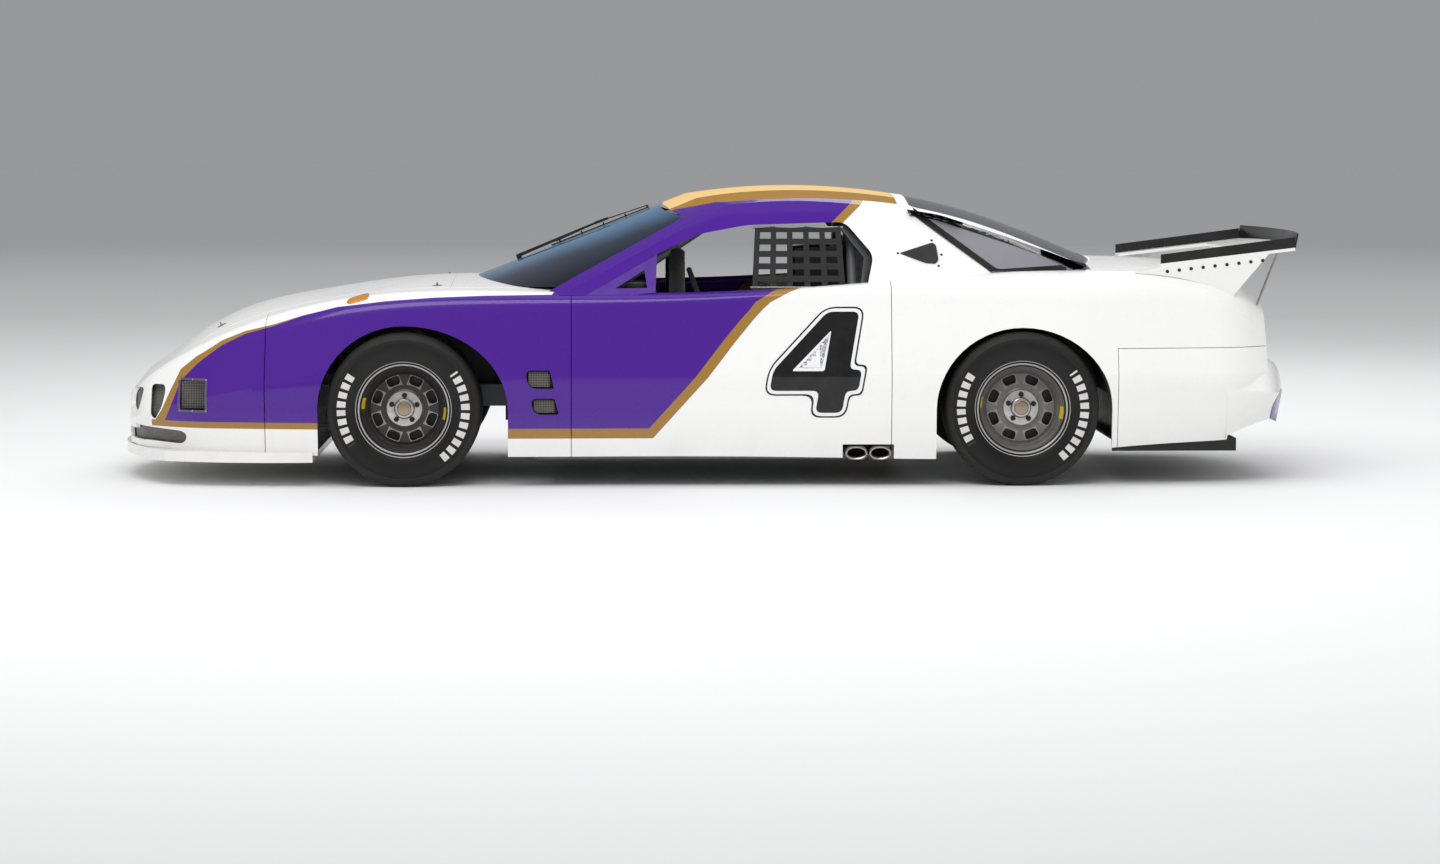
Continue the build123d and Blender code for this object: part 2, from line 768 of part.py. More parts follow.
def build_cage():
    tubes = []
    for s in mirror_sides:
        tubes += [
            ((hoop_x, s * hoop_low_y, cage_foot_z), (hoop_x, s * hoop_low_y, hoop_mid_z)),
            ((hoop_x, s * hoop_low_y, hoop_mid_z), (hoop_x, s * hoop_top_y, hoop_top_z)),
            ((front_leg_x, s * front_leg_y, cage_foot_z), (front_leg_x, s * front_leg_y, front_leg_mid_z)),
            ((front_leg_x, s * front_leg_y, front_leg_mid_z), (front_top_x, s * front_top_y, front_top_z)),
            ((front_top_x, s * front_top_y, front_top_z), (hoop_x, s * hoop_top_y, hoop_top_z)),
            ((hoop_x, s * hoop_top_y, hoop_top_z), (stay_end_x, s * rear_clip_y, stay_end_z)),
        ]
        for index in range(door_bar_count):
            z = door_bar_low_z + index * door_bar_pitch
            tubes.append(((front_leg_x, s * front_leg_y, z), (hoop_x, s * hoop_low_y, z)))
    tubes += [
        ((hoop_x, -hoop_top_y, hoop_top_z), (hoop_x, hoop_top_y, hoop_top_z)),
        ((front_top_x, -front_top_y, front_top_z), (front_top_x, front_top_y, front_top_z)),
        ((front_leg_x, -front_leg_y, dash_bar_z), (front_leg_x, front_leg_y, dash_bar_z)),
        ((hoop_x, -hoop_low_y, dash_bar_z), (hoop_x, hoop_low_y, dash_bar_z)),
        ((hoop_x, -hoop_top_y, hoop_top_z), (hoop_x, hoop_low_y, door_bar_low_z)),
    ]
    ball = Solid.make_sphere(tube_radius * joint_share, angle1=-quarter_turn)
    cage = None
    joints = set()
    for start, end in tubes:
        tube = rod(start, end, tube_radius)
        cage = tube if cage is None else cage + tube
        joints.update((start, end))
    for point in sorted(joints):
        if point[2] > cage_foot_z + tube_radius and point[0] < stay_end_x:
            cage = cage + Pos(*point) * ball
    cage = cage & zone(-far_x, far_x, cage_foot_z + sheet)
    return cage - zone(stay_room_x, far_x, 0.0, stay_end_z)


nodes["roll_cage"] = solid_part(build_cage())

# Dashboard
dash_x0 = front_leg_x + tube_radius + seat_gap
dash_x1 = -250.0
dash_half_y = 650.0
dash_low_z = 700.0
dash_high_z = 860.0
dash_slope = 60.0
dash_points = [
    (dash_x0, dash_high_z),
    (dash_x0, dash_low_z),
    (dash_x1 - dash_slope, dash_low_z),
    (dash_x1, dash_high_z),
]
nodes["dashboard"] = solid_part(side_prism(dash_points, -dash_half_y, dash_half_y))

# Driver's seat: a bucket with raised sides and a head surround
seat_y = -390.0
seat_half_width = 235.0
seat_shell = 16.0
seat_front_x = 60.0
seat_hip_x = 520.0
seat_top_x = 620.0
seat_base_z = floor_z + sheet
seat_pan_z = 330.0
seat_side_z = 520.0
seat_back_z = 1080.0
seat_shoulder_z = 760.0
seat_points = [
    (seat_front_x, seat_base_z),
    (seat_hip_x, seat_base_z),
    (seat_top_x - seat_shell, seat_back_z),
    (seat_top_x - seat_half_width, seat_back_z - seat_shell),
    (seat_top_x - seat_half_width, seat_shoulder_z),
    (seat_hip_x - seat_half_width, seat_side_z),
    (seat_front_x, seat_side_z - seat_half_width / 2),
]
seat_inner_points = [
    (seat_front_x - overrun, seat_pan_z),
    (seat_hip_x - 4 * seat_shell, seat_pan_z),
    (seat_top_x - 3 * seat_shell, seat_back_z + overrun),
    (seat_front_x - overrun, seat_back_z + overrun),
]
seat = side_prism(seat_points, seat_y - seat_half_width, seat_y + seat_half_width)
seat_inner_half = seat_half_width - seat_shell
seat = seat - side_prism(seat_inner_points, seat_y - seat_inner_half, seat_y + seat_inner_half)
nodes["seat"] = solid_part(seat)

# Steering column and wheel
steer_wheel_x = -40.0
steer_wheel_z = 800.0
steer_tilt = 20.0
steer_ring_radius = 170.0
steer_ring_section = 14.0
steer_hub_radius = 34.0
steer_hub_length = 40.0
steer_spoke_width = 30.0
steer_spoke_thickness = 6.0
column_radius = 18.0
column_length = 250.0
column_gap = 0.5
steer_plane = Plane(
    origin=(steer_wheel_x, seat_y, steer_wheel_z),
    x_dir=(0, 1, 0),
    z_dir=(math.cos(math.radians(steer_tilt)), 0, math.sin(math.radians(steer_tilt))),
)
ring_profile = Plane.XZ * Pos(steer_ring_radius, 0) * RegularPolygon(steer_ring_section, 6)
steer_wheel = revolve(ring_profile, Axis.Z)
steer_wheel += Pos(0, 0, -steer_hub_length / 2) * Cylinder(steer_hub_radius, steer_hub_length)
for spoke in range(3):
    bar = Pos(steer_ring_radius / 2, 0, 0) * Box(
        steer_ring_radius, steer_spoke_width, steer_spoke_thickness
    )
    steer_wheel += Rot(0, 0, 90 + 120 * spoke) * bar
nodes["steering_wheel"] = solid_part(steer_plane * steer_wheel)
column = Pos(0, 0, -steer_hub_length - column_gap - column_length / 2) * Cylinder(
    column_radius, column_length
)
nodes["steering_column"] = solid_part((steer_plane * column) - side_prism(dash_points, -all_y, all_y))

# Engine with its gearbox, one plain block
engine_x0 = -1730.0
engine_x1 = -960.0
engine_half_y = 270.0
engine_low_z = engine_cross_low_z + rail_width
engine_high_z = 780.0
gearbox_x1 = -300.0
gearbox_half_y = 115.0
gearbox_low_z = 240.0
gearbox_high_z = 410.0
engine = slab(engine_x0, engine_x1, -engine_half_y, engine_half_y, engine_low_z, engine_high_z)
engine += slab(engine_x1, gearbox_x1, -gearbox_half_y, gearbox_half_y, gearbox_low_z, gearbox_high_z)
nodes["engine"] = solid_part(engine)

# Fuel cell in the tail
fuel_x0 = 1880.0
fuel_x1 = 2255.0
fuel_half_y = rear_clip_y - rail_width / 2
fuel_low_z = 200.0
fuel_high_z = 545.0
nodes["fuel_cell"] = solid_part(
    slab(fuel_x0, fuel_x1, -fuel_half_y, fuel_half_y, fuel_low_z, fuel_high_z)
)

# Rear axle with its final drive and the propeller shaft
axle_tube_radius = 42.0
axle_tube_half = 640.0
diff_radius = 135.0
shaft_radius = 38.0
stub_radius = 22.0
stub_end_y = 800.0
spring_radius = 45.0
axle_plane = Pos(rear_axle_x, 0, tyre_radius) * Rot(90, 0, 0)
rear_axle = axle_plane * Cylinder(axle_tube_radius, 2 * axle_tube_half)
rear_axle += Pos(rear_axle_x, 0, tyre_radius) * Sphere(diff_radius)
rear_axle += rod(
    (gearbox_x1 + seat_gap, 0, tyre_radius), (rear_axle_x, 0, tyre_radius), shaft_radius
)
for side in mirror_sides:
    rear_axle += rod(
        (rear_axle_x, side * rear_clip_y, tyre_radius),
        (rear_axle_x, side * rear_clip_y, rear_clip_low_z - seat_gap),
        spring_radius,
    )
rear_axle += axle_plane * Cylinder(stub_radius, 2 * stub_end_y)
nodes["rear_axle"] = solid_part(rear_axle)

# Front suspension arms, knuckles and steering rack
kingpin_y = 690.0
upright_long = 70.0
upright_y0 = 662.0
upright_y1 = 706.0
upright_half_tall = 118.0
spindle_radius = 22.0
arm_thickness = 24.0
arm_root_y = front_clip_y + rail_width / 2
arm_neck_y = 500.0
arm_neck_half = 24.0
arm_low_z = 222.0
arm_high_z = 478.0
arm_gap = 0.4
arm_tip_y = 698.0
steer_arm_long = 110.0
steer_arm_half = 14.0
steer_arm_z = 322.0
steer_arm_thick = 20.0
tie_radius = 11.0
rack_z = steer_arm_z - steer_arm_thick / 2 - arm_gap - tie_radius
rack_half = kingpin_y + tie_radius


def build_arms():
    arms = None
    for s in mirror_sides:
        outline = [
            (front_axle_x - arm_root_half, s * arm_root_y),
            (front_axle_x - arm_neck_half, s * arm_neck_y),
            (front_axle_x - arm_neck_half, s * arm_tip_y),
            (front_axle_x + arm_neck_half, s * arm_tip_y),
            (front_axle_x + arm_neck_half, s * arm_neck_y),
            (front_axle_x + arm_root_half, s * arm_root_y),
        ]
        for z in (arm_low_z, arm_high_z):
            arm = plan_prism(outline, z - arm_thickness / 2, z + arm_thickness / 2)
            arms = arm if arms is None else arms + arm
    return arms


nodes["front_arms"] = solid_part(build_arms())


def build_knuckle(s):
    half_tall = (arm_high_z - arm_low_z - arm_thickness) / 2 - arm_gap
    mid_z = (arm_high_z + arm_low_z) / 2
    y0, y1 = sorted((s * upright_y0, s * upright_y1))
    knuckle = slab(
        front_axle_x - upright_long / 2, front_axle_x + upright_long / 2, y0, y1,
        mid_z - half_tall, mid_z + half_tall
    )
    y0, y1 = sorted((s * upright_y0, s * stub_end_y))
    knuckle += Pos(front_axle_x, (y0 + y1) / 2, tyre_radius) * Rot(90, 0, 0) * Cylinder(
        spindle_radius, y1 - y0
    )
    y_mid = s * (kingpin_y - steer_arm_half / 2)
    knuckle += slab(
        front_axle_x - steer_arm_long - steer_arm_half, front_axle_x,
        y_mid - steer_arm_half, y_mid + steer_arm_half,
        steer_arm_z - steer_arm_thick / 2, steer_arm_z + steer_arm_thick / 2
    )
    return knuckle


nodes["knuckle_left"] = solid_part(build_knuckle(-1))
nodes["knuckle_right"] = solid_part(build_knuckle(1))

rack_x = front_axle_x - steer_arm_long
rack = rod((rack_x, -rack_half, rack_z), (rack_x, rack_half, rack_z), tie_radius)
nodes["steering_rack"] = solid_part(rack)

# Wheels: tyre, and rim with its hub and brake disc
rim_radius = 205.0
rim_bead_radius = 190.0
rim_half = 127.0
rim_well_radius = 178.0
rim_wall = 9.0
disc_y = 26.0
disc_thickness = 9.0
hub_radius = 82.0
hub_depth = 42.0
hub_cap_radius = 34.0
hub_cap_depth = 62.0
slot_count = 8
slot_radius = 122.0
slot_long = 52.0
slot_tall = 34.0
nut_count = 5
nut_circle = 60.0
nut_radius = 11.0
nut_height = 14.0
hub_clearance = 0.06
hub_bore_radius = stub_radius + hub_clearance
brake_radius = 158.0
brake_thickness = 30.0
brake_y = -34.0
tyre_half = 150.0
bead_gap = 0.3
tyre_bead_half = rim_half - rim_wall - bead_gap

# Tyre wall. Columns: share of the height from the bead to the tread, share of tyre_half
tyre_wall_shares = [(0.18, 0.92), (0.45, 1.0), (0.80, 0.985), (1.0, 0.86)]
wall_height = tyre_radius - rim_bead_radius
# Tyre profile: radius then offset from the wheel's middle plane
tyre_profile = [
    (rim_bead_radius + bead_gap, tyre_bead_half),
    (rim_radius + bead_gap, rim_half - bead_gap),
]
tyre_profile += [(rim_bead_radius + wall_height * up, tyre_half * out) for up, out in tyre_wall_shares]


def wheel_place(x, s):
    """The wheel's own frame: its local z runs outwards from the car."""
    return Plane(origin=(x, s * wheel_centre_y, tyre_radius), x_dir=(1, 0, 0), z_dir=(0, s, 0))


def turned(points):
    outline = Polyline(*[(r, 0, offset) for r, offset in points], close=True)
    return revolve(make_face(outline), Axis.Z)


def build_tyre():
    back = [(r, -offset) for r, offset in reversed(tyre_profile)]
    return turned(tyre_profile + back)


def build_rim():
    lip, well = rim_radius, rim_well_radius
    barrel = [
        (lip, rim_half),
        (rim_bead_radius, rim_half - rim_wall),
        (rim_bead_radius, tyre_bead_half - 4 * rim_wall),
        (well, tyre_bead_half - 6 * rim_wall),
        (well, -tyre_bead_half + 3 * rim_wall),
        (rim_bead_radius, -tyre_bead_half + rim_wall),
        (rim_bead_radius, -rim_half + rim_wall),
        (lip, -rim_half),
        (lip - rim_wall, -rim_half),
        (well - rim_wall, -tyre_bead_half + 3 * rim_wall),
        (well - rim_wall, tyre_bead_half - 6 * rim_wall),
        (lip - rim_wall, rim_half),
    ]
    rim = turned(barrel)
    plate = [
        (hub_bore_radius, disc_y),
        (well - rim_wall / 2, disc_y + rim_wall),
        (well - rim_wall / 2, disc_y + rim_wall + disc_thickness),
        (hub_radius, disc_y + disc_thickness),
        (hub_radius, disc_y + disc_thickness + hub_depth / 3),
        (hub_cap_radius, disc_y + hub_depth),
        (hub_cap_radius, disc_y + hub_cap_depth),
        (0.0, disc_y + hub_cap_depth),
        (0.0, disc_y + hub_depth / 2),
        (hub_bore_radius, disc_y + hub_depth / 2),
    ]
    rim += turned(plate)
    hub = [
        (hub_bore_radius, brake_y - brake_thickness / 2),
        (brake_radius, brake_y - brake_thickness / 2),
        (brake_radius, brake_y + brake_thickness / 2),
        (hub_radius * 3 / 4, brake_y + brake_thickness / 2),
        (hub_radius * 3 / 4, disc_y + disc_thickness),
        (hub_bore_radius, disc_y + disc_thickness),
    ]
    rim += turned(hub)
    slot = Pos(slot_radius, 0, disc_y + disc_thickness) * Box(slot_tall, slot_long, 6 * rim_wall)
    slot = slot & Pos(0, 0, disc_y + 2 * disc_thickness) * Cylinder(
        rim_well_radius - 2 * rim_wall, 9 * rim_wall
    )
    for index in range(slot_count):
        rim = rim - Rot(0, 0, 360 * index / slot_count) * slot
    for index in range(nut_count):
        nut = Pos(nut_circle, 0, disc_y + hub_depth * 2 / 3) * extrude(
            RegularPolygon(nut_radius, 6), nut_height
        )
        rim += Rot(0, 0, 360 * index / nut_count) * nut
    return rim


wheel_names = {
    "front_left": (front_axle_x, -1),
    "front_right": (front_axle_x, 1),
    "rear_left": (rear_axle_x, -1),
    "rear_right": (rear_axle_x, 1),
}
tyre_shape = build_tyre()
rim_shape = build_rim()
for name, (x, s) in wheel_names.items():
    nodes["tyre_" + name] = solid_part(wheel_place(x, s) * tyre_shape)
    nodes["rim_" + name] = solid_part(wheel_place(x, s) * rim_shape)

# Rear wing: white shelf on side fins, black strip round its edge, two rear rods
wing_front_x = 2045.0
wing_rear_x = 2660.0
wing_front_z = 985.0
wing_rear_z = 1058.0
wing_half_y = 745.0
wing_plate = 14.0
wing_arm_width = 120.0
wing_inner_x = 2480.0
fin_thickness = 26.0
fin_low_front_x = 1925.0
fin_low_rear_x = 2380.0
fin_top_rear_x = 2540.0
fin_rear_z_share = 0.635
strip_thickness = 8.0
strip_front_height = 42.0
strip_rear_height = 50.0
blade_rise = 78.0
blade_bow = 70.0


def wing_z(x):
    """Height of the wing shelf's underside at x."""
    share = (x - wing_front_x) / (wing_rear_x - wing_front_x)
    return wing_front_z + share * (wing_rear_z - wing_front_z)


def wing_plan(inset, front_x, half_y):
    """Plan outline of the shelf, its rear edge bowed back at the middle."""
    z = 0
    corner = Vector(wing_rear_x - inset, half_y - inset, z)
    back = Vector(wing_rear_x + blade_bow - inset, 0, z)
    front = Vector(front_x, half_y - inset, z)
    return Face(
        Wire(
            [
                Edge.make_line(mirrored(front), front),
                Edge.make_line(front, corner),
                Edge.make_three_point_arc(corner, back, mirrored(corner)),
                Edge.make_line(mirrored(corner), mirrored(front)),
            ]
        )
    )


def wing_layer(low, high, front_x, grow=0.0):
    """The volume between two heights over the shelf's sloping underside."""
    end_x = wing_rear_x + 2 * blade_bow
    return side_prism(
        [
            (front_x, wing_z(front_x) + low),
            (end_x, wing_z(end_x) + low),
            (end_x, wing_z(end_x) + high + grow),
            (front_x, wing_z(front_x) + high),
        ],
        -all_y,
        all_y,
    )


wing_column = extrude(wing_plan(0, wing_front_x, wing_half_y), 2 * overall_height, dir=(0, 0, 1))
wing_shelf = wing_column & wing_layer(0, wing_plate, wing_front_x)
wing_mouth = slab(
    wing_front_x - overrun, wing_inner_x, -wing_half_y + wing_arm_width, wing_half_y - wing_arm_width,
    0, 2 * overall_height
)
wing_shelf = wing_shelf - wing_mouth
fin_points = [
    (fin_low_front_x, overall_height / 2),
    (fin_low_front_x, wing_z(wing_front_x) - fin_thickness),
    (wing_front_x, wing_z(wing_front_x)),
    (fin_top_rear_x, wing_z(fin_top_rear_x)),
    (fin_low_rear_x, fin_rear_z_share * overall_height),
    (fin_low_rear_x, overall_height / 2),
]
for s in mirror_sides:
    y0, y1 = sorted((s * wing_half_y, s * (wing_half_y - fin_thickness)))
    wing_shelf += side_prism(fin_points, y0, y1)
nodes["wing"] = solid_part(wing_shelf - body_skin)

strip_high = wing_plate + strip_front_height
strip = slab(wing_front_x, wing_rear_x, -wing_half_y, wing_half_y, 0, 2 * overall_height)
strip = strip & wing_layer(wing_plate, strip_high, wing_front_x, strip_rear_height - strip_front_height)
strip = strip - slab(
    wing_front_x - overrun, far_x, strip_thickness - wing_half_y, wing_half_y - strip_thickness,
    0, 2 * overall_height
)


def blade_band(lean, z):
    """The bowed rear band at one height, leant back."""
    outer_x, inner_x = wing_rear_x + lean, wing_rear_x + lean - strip_thickness
    corner = Vector(outer_x, wing_half_y, z)
    inner = Vector(inner_x, wing_half_y, z)
    return Wire(
        [
            Edge.make_three_point_arc(corner, Vector(outer_x + blade_bow, 0, z), mirrored(corner)),
            Edge.make_line(mirrored(corner), mirrored(inner)),
            Edge.make_three_point_arc(mirrored(inner), Vector(inner_x + blade_bow, 0, z), inner),
            Edge.make_line(inner, corner),
        ]
    )


blade_foot_z = wing_z(wing_rear_x)
blade_lean = overall_length / 2 - wing_rear_x - blade_bow
blade = Solid.make_loft(
    [blade_band(0, blade_foot_z), blade_band(blade_lean, blade_foot_z + blade_rise)], True
)
nodes["spoiler"] = solid_part((strip + blade) - wing_shelf)

wing_rod_radius = 6.0
wing_rod_y = 640.0
wing_rod_low_x = 2502.0
wing_rod_low_z = 800.0
wing_rod_high_x = 2600.0
wing_rod_sink = 1.0
rods = None
for s in mirror_sides:
    high = (wing_rod_high_x, s * wing_rod_y, wing_z(wing_rod_high_x) - wing_rod_sink)
    bar = rod((wing_rod_low_x, s * wing_rod_y, wing_rod_low_z), high, wing_rod_radius)
    rods = bar if rods is None else rods + bar
nodes["wing_rods"] = solid_part(rods - body_skin - wing_shelf)

# Windshield wiper on the centre line
wiper_low_x = -907.0
wiper_high_x = -276.0
wiper_width = 14.0
wiper_height = 26.0
wiper_clearance = seat_gap - glass_set_in / 4
screen_slope_share = (cabin_outline_shares[0][2] - cabin_outline_shares[0][0]) * wheelbase
screen_foot_x = front_axle_x + cabin_outline_shares[0][0] * wheelbase


def screen_z(x):
    """Height of the windshield's middle line at x."""
    return cabin_low_z + (x - screen_foot_x) / screen_slope_share * (cabin_high_z - cabin_low_z)


wiper_points = [
    (wiper_low_x, screen_z(wiper_low_x) + wiper_clearance),
    (wiper_high_x, screen_z(wiper_high_x) + wiper_clearance),
    (wiper_high_x, screen_z(wiper_high_x) + wiper_clearance + wiper_height),
    (wiper_low_x, screen_z(wiper_low_x) + wiper_clearance + wiper_height),
]
nodes["wiper"] = solid_part(side_prism(wiper_points, -wiper_width / 2, wiper_width / 2))

# Rear wheel tubs
tub_wall = 6.0
tub_radius = 400.0
tub_y0 = 560.0
tub_y1 = 900.0
tub_low_z = 420.0
tubs = None
for s in mirror_sides:
    y0, y1 = sorted((s * tub_y0, s * tub_y1))
    place = Pos(rear_axle_x, (y0 + y1) / 2, tyre_radius) * Rot(90, 0, 0)
    tub = place * (Cylinder(tub_radius, y1 - y0) - Cylinder(tub_radius - tub_wall, y1 - y0))
    yi0, yi1 = sorted((s * tub_y0, s * (tub_y0 + tub_wall)))
    tub += Pos(rear_axle_x, (yi0 + yi1) / 2, tyre_radius) * Rot(90, 0, 0) * Cylinder(tub_radius, tub_wall)
    tub = tub & slab(-far_x, far_x, y0, y1, tub_low_z, all_z)
    tubs = tub if tubs is None else tubs + tub
tubs = tubs & body_fit
nodes["wheel_tubs"] = solid_part(tubs)

# Undertray with side skirts behind the tail
tray_x0 = 1830.0
tray_x1 = 2400.0
tray_half_y = 725.0
tray_low_z = 142.0
tray = slab(tray_x0, tray_x1, -tray_half_y, tray_half_y, fuel_low_z - sheet, fuel_low_z)
for side in mirror_sides:
    y0, y1 = sorted((side * tray_half_y, side * (tray_half_y - sheet)))
    tray += slab(tray_x0, tray_x1, y0, y1, tray_low_z, fuel_low_z)
nodes["undertray"] = solid_part(tray)

if __name__ == "__main__":
    os.makedirs("parts", exist_ok=True)
    for name, shape in nodes.items():
        export_step(shape, "parts/" + name + ".step")
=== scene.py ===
import math
import bpy
import bmesh
import numpy as np
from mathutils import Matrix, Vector
from mathutils.bvhtree import BVHTree


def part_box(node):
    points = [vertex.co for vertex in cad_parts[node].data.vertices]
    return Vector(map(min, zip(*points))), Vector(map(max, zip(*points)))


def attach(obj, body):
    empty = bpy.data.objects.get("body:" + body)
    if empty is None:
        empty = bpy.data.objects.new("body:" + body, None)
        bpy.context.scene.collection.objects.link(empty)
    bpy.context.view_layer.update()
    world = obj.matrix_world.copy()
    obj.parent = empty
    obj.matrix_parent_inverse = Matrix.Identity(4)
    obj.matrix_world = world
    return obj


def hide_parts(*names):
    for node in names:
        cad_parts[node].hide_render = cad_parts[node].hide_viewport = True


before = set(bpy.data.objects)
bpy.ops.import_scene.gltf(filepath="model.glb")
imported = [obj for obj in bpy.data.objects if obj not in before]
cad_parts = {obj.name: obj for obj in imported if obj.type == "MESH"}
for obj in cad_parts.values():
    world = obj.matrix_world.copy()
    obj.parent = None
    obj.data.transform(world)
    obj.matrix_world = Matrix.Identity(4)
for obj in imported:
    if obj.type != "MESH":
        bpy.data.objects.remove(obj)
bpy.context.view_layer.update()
print("frame loaded")

sides = ((-1, "left"), (1, "right"))

# camera: lens and sensor in millimetres, angles in degrees
camera = {
    "place": (-0.442, -17.0, 1.6),
    "lens": 89.5,
    "sensor": 36.0,
    "shiftX": 0.0139,
    "shiftY": -0.0639,
    "turn": 1.36,            # to the right of straight across
    "drop": 3.33,            # below level
}
camData = bpy.data.cameras.new("camera")
camData.lens = camera["lens"]
camData.sensor_width = camera["sensor"]
camData.shift_x = camera["shiftX"]
camData.shift_y = camera["shiftY"]
cam = bpy.data.objects.new("camera", camData)
cam.location = camera["place"]
cam.rotation_euler = (math.radians(90 - camera["drop"]), 0, math.radians(-camera["turn"]))
bpy.context.scene.collection.objects.link(cam)
bpy.context.scene.camera = cam
bpy.context.scene.view_settings.view_transform = "Standard"


# shader maths: a wrapped socket takes +, -, * and /
class Value:
    def __init__(self, board, socket):
        self.board = board
        self.socket = socket

    def maths(self, operation, other=None, flip=False):
        values = (other, self) if flip else (self, other)
        if other is None:
            values = (self,)
        return self.board.add("ShaderNodeMath", {"operation": operation}, values)

    def __add__(self, other):
        return self.maths("ADD", other)

    def __radd__(self, other):
        return self.maths("ADD", other)

    def __sub__(self, other):
        return self.maths("SUBTRACT", other)

    def __rsub__(self, other):
        return self.maths("SUBTRACT", other, True)

    def __mul__(self, other):
        return self.maths("MULTIPLY", other)

    def __rmul__(self, other):
        return self.maths("MULTIPLY", other)

    def __truediv__(self, other):
        return self.maths("DIVIDE", other)

    def __rtruediv__(self, other):
        return self.maths("DIVIDE", other, True)

    def above(self, edge, soft=0.0012):
        # 1 where this is greater than the edge, over a soft step
        step = (self - edge) / soft + 0.5
        step.socket.node.use_clamp = True
        return step

    def below(self, edge, soft=0.0012):
        return 1.0 - self.above(edge, soft)

    def most(self, other):
        return self.maths("MAXIMUM", other)

    def size(self):
        return self.maths("ABSOLUTE")


def fillRamp(ramp, stops):
    # The places go in first, because moving a stop can change their order
    while len(ramp.elements) < len(stops):
        ramp.elements.new(0.5)
    for element, (at, _) in zip(ramp.elements, stops):
        element.position = at
    for element, (_, shade) in zip(ramp.elements, stops):
        element.color = (*shade, 1.0) if isinstance(shade, tuple) else (shade, shade, shade, 1.0)


class Board:
    # The node tree of one material

    def __init__(self, name):
        self.material = bpy.data.materials.new(name)
        self.material.use_nodes = True
        self.tree = self.material.node_tree
        self.tree.nodes.clear()
        self.out = self.tree.nodes.new("ShaderNodeOutputMaterial")
        self.shader = self.tree.nodes.new("ShaderNodeBsdfPrincipled")
        self.tree.links.new(self.shader.outputs[0], self.out.inputs[0])

    def add(self, kind, settings=None, values=(), output=0):
        node = self.tree.nodes.new(kind)
        for key, value in (settings or {}).items():
            if key == "stops":
                fillRamp(node.color_ramp, value)
            else:
                setattr(node, key, value)
        pairs = values.items() if isinstance(values, dict) else enumerate(values)
        for key, value in pairs:
            socket = node.inputs[key]
            if isinstance(value, Value):
                self.tree.links.new(value.socket, socket)
            elif value is not None:
                socket.default_value = value
        return Value(self, node.outputs[output])

    def place(self, centre=(0, 0, 0)):
        # Object coordinates about a centre, as a vector and its three parts
        coord = self.add("ShaderNodeTexCoord", output=3)
        moved = self.add("ShaderNodeMapping", {}, {"Vector": coord, "Location": [-c for c in centre]})
        split = self.add("ShaderNodeSeparateXYZ", {}, (moved,))
        parts = [Value(self, split.socket.node.outputs[i]) for i in range(3)]
        return moved, parts

    def ramp(self, value, low, high, stops):
        share = self.add("ShaderNodeMapRange", {}, {"Value": value, "From Min": low, "From Max": high})
        return self.add("ShaderNodeValToRGB", {"stops": stops}, (share,))

    def line(self, value, points):
        # Height of a broken line, given as (along, height) points, at a value
        low, high = points[0][0], points[-1][0]
        floor = min(p[1] for p in points)
        reach = max(p[1] for p in points) - floor
        stops = [((a - low) / (high - low), (h - floor) / reach) for a, h in points]
        return self.ramp(value, low, high, stops) * reach + floor

    def mix(self, share, a, b):
        return self.add("ShaderNodeMix", {"data_type": "RGBA"}, {0: share, 6: a, 7: b}, 2)

    def noise(self, vector, scale, detail=3.0):
        return self.add("ShaderNodeTexNoise", {}, {"Vector": vector, "Scale": scale, "Detail": detail})

    def bump(self, height, strength, distance):
        return self.add("ShaderNodeBump", {},
                        {"Height": height, "Strength": strength, "Distance": distance})

    def set(self, **values):
        for key, value in values.items():
            socket = self.shader.inputs[key.replace("_", " ")]
            if isinstance(value, Value):
                self.tree.links.new(value.socket, socket)
            else:
                socket.default_value = value
        return self.material


def tone(r, g, b):
    # sRGB 0-255 to a linear colour
    lin = [((c / 255 + 0.055) / 1.055) ** 2.4 if c > 10 else c / 255 / 12.92 for c in (r, g, b)]
    return (*lin, 1.0)


paint = {
    "purple": tone(72, 24, 140),
    "white": tone(240, 240, 238),
    "gold": tone(158, 118, 54),
    "tan": tone(226, 190, 128),
    "black": tone(14, 14, 16),
}

# where the colours meet, as (x, z) or (z, x) points in metres, and half widths of the gold lines
livery = {
    "upper": [(-2.552, 0.235), (-2.502, 0.302), (-2.450, 0.414), (-2.414, 0.498), (-2.340, 0.565),
              (-2.222, 0.646), (-2.116, 0.693), (-1.982, 0.728), (-1.849, 0.772), (-1.694, 0.811),
              (-1.474, 0.838), (-1.256, 0.854), (-1.036, 0.862), (-0.72, 0.866), (-0.66, 1.5)],
    "upperHalf": [(-2.56, 0.036), (-2.46, 0.040), (-2.41, 0.026), (-2.30, 0.014), (-2.10, 0.006),
                  (-1.90, 0.002), (-1.75, -0.002), (-0.70, -0.002)],
    "slash": [(0.20, -0.320), (0.244, -0.279), (0.497, -0.051), (0.653, 0.069), (0.755, 0.153),
              (0.833, 0.225), (0.880, 0.309), (0.920, 0.420)],
    "slashHalf": [(0.20, 0.029), (0.80, 0.029), (0.88, 0.042), (0.92, 0.050)],
    "stripe": [(-2.60, 0.2765), (-1.40, 0.2765), (-1.39, 0.2425), (0.20, 0.2425)],
    "stripeHalf": [(-2.60, 0.0145), (-1.40, 0.0145), (-1.39, 0.0225), (0.20, 0.0225)],
    "front": -2.556,
    "cowlFront": -0.92,      # the cowl between the fenders stays white
    "cowlHalf": 0.735,
    "goldRear": -0.74,
    "patch": (2.640, 0.300, 0.085, 0.112),
}

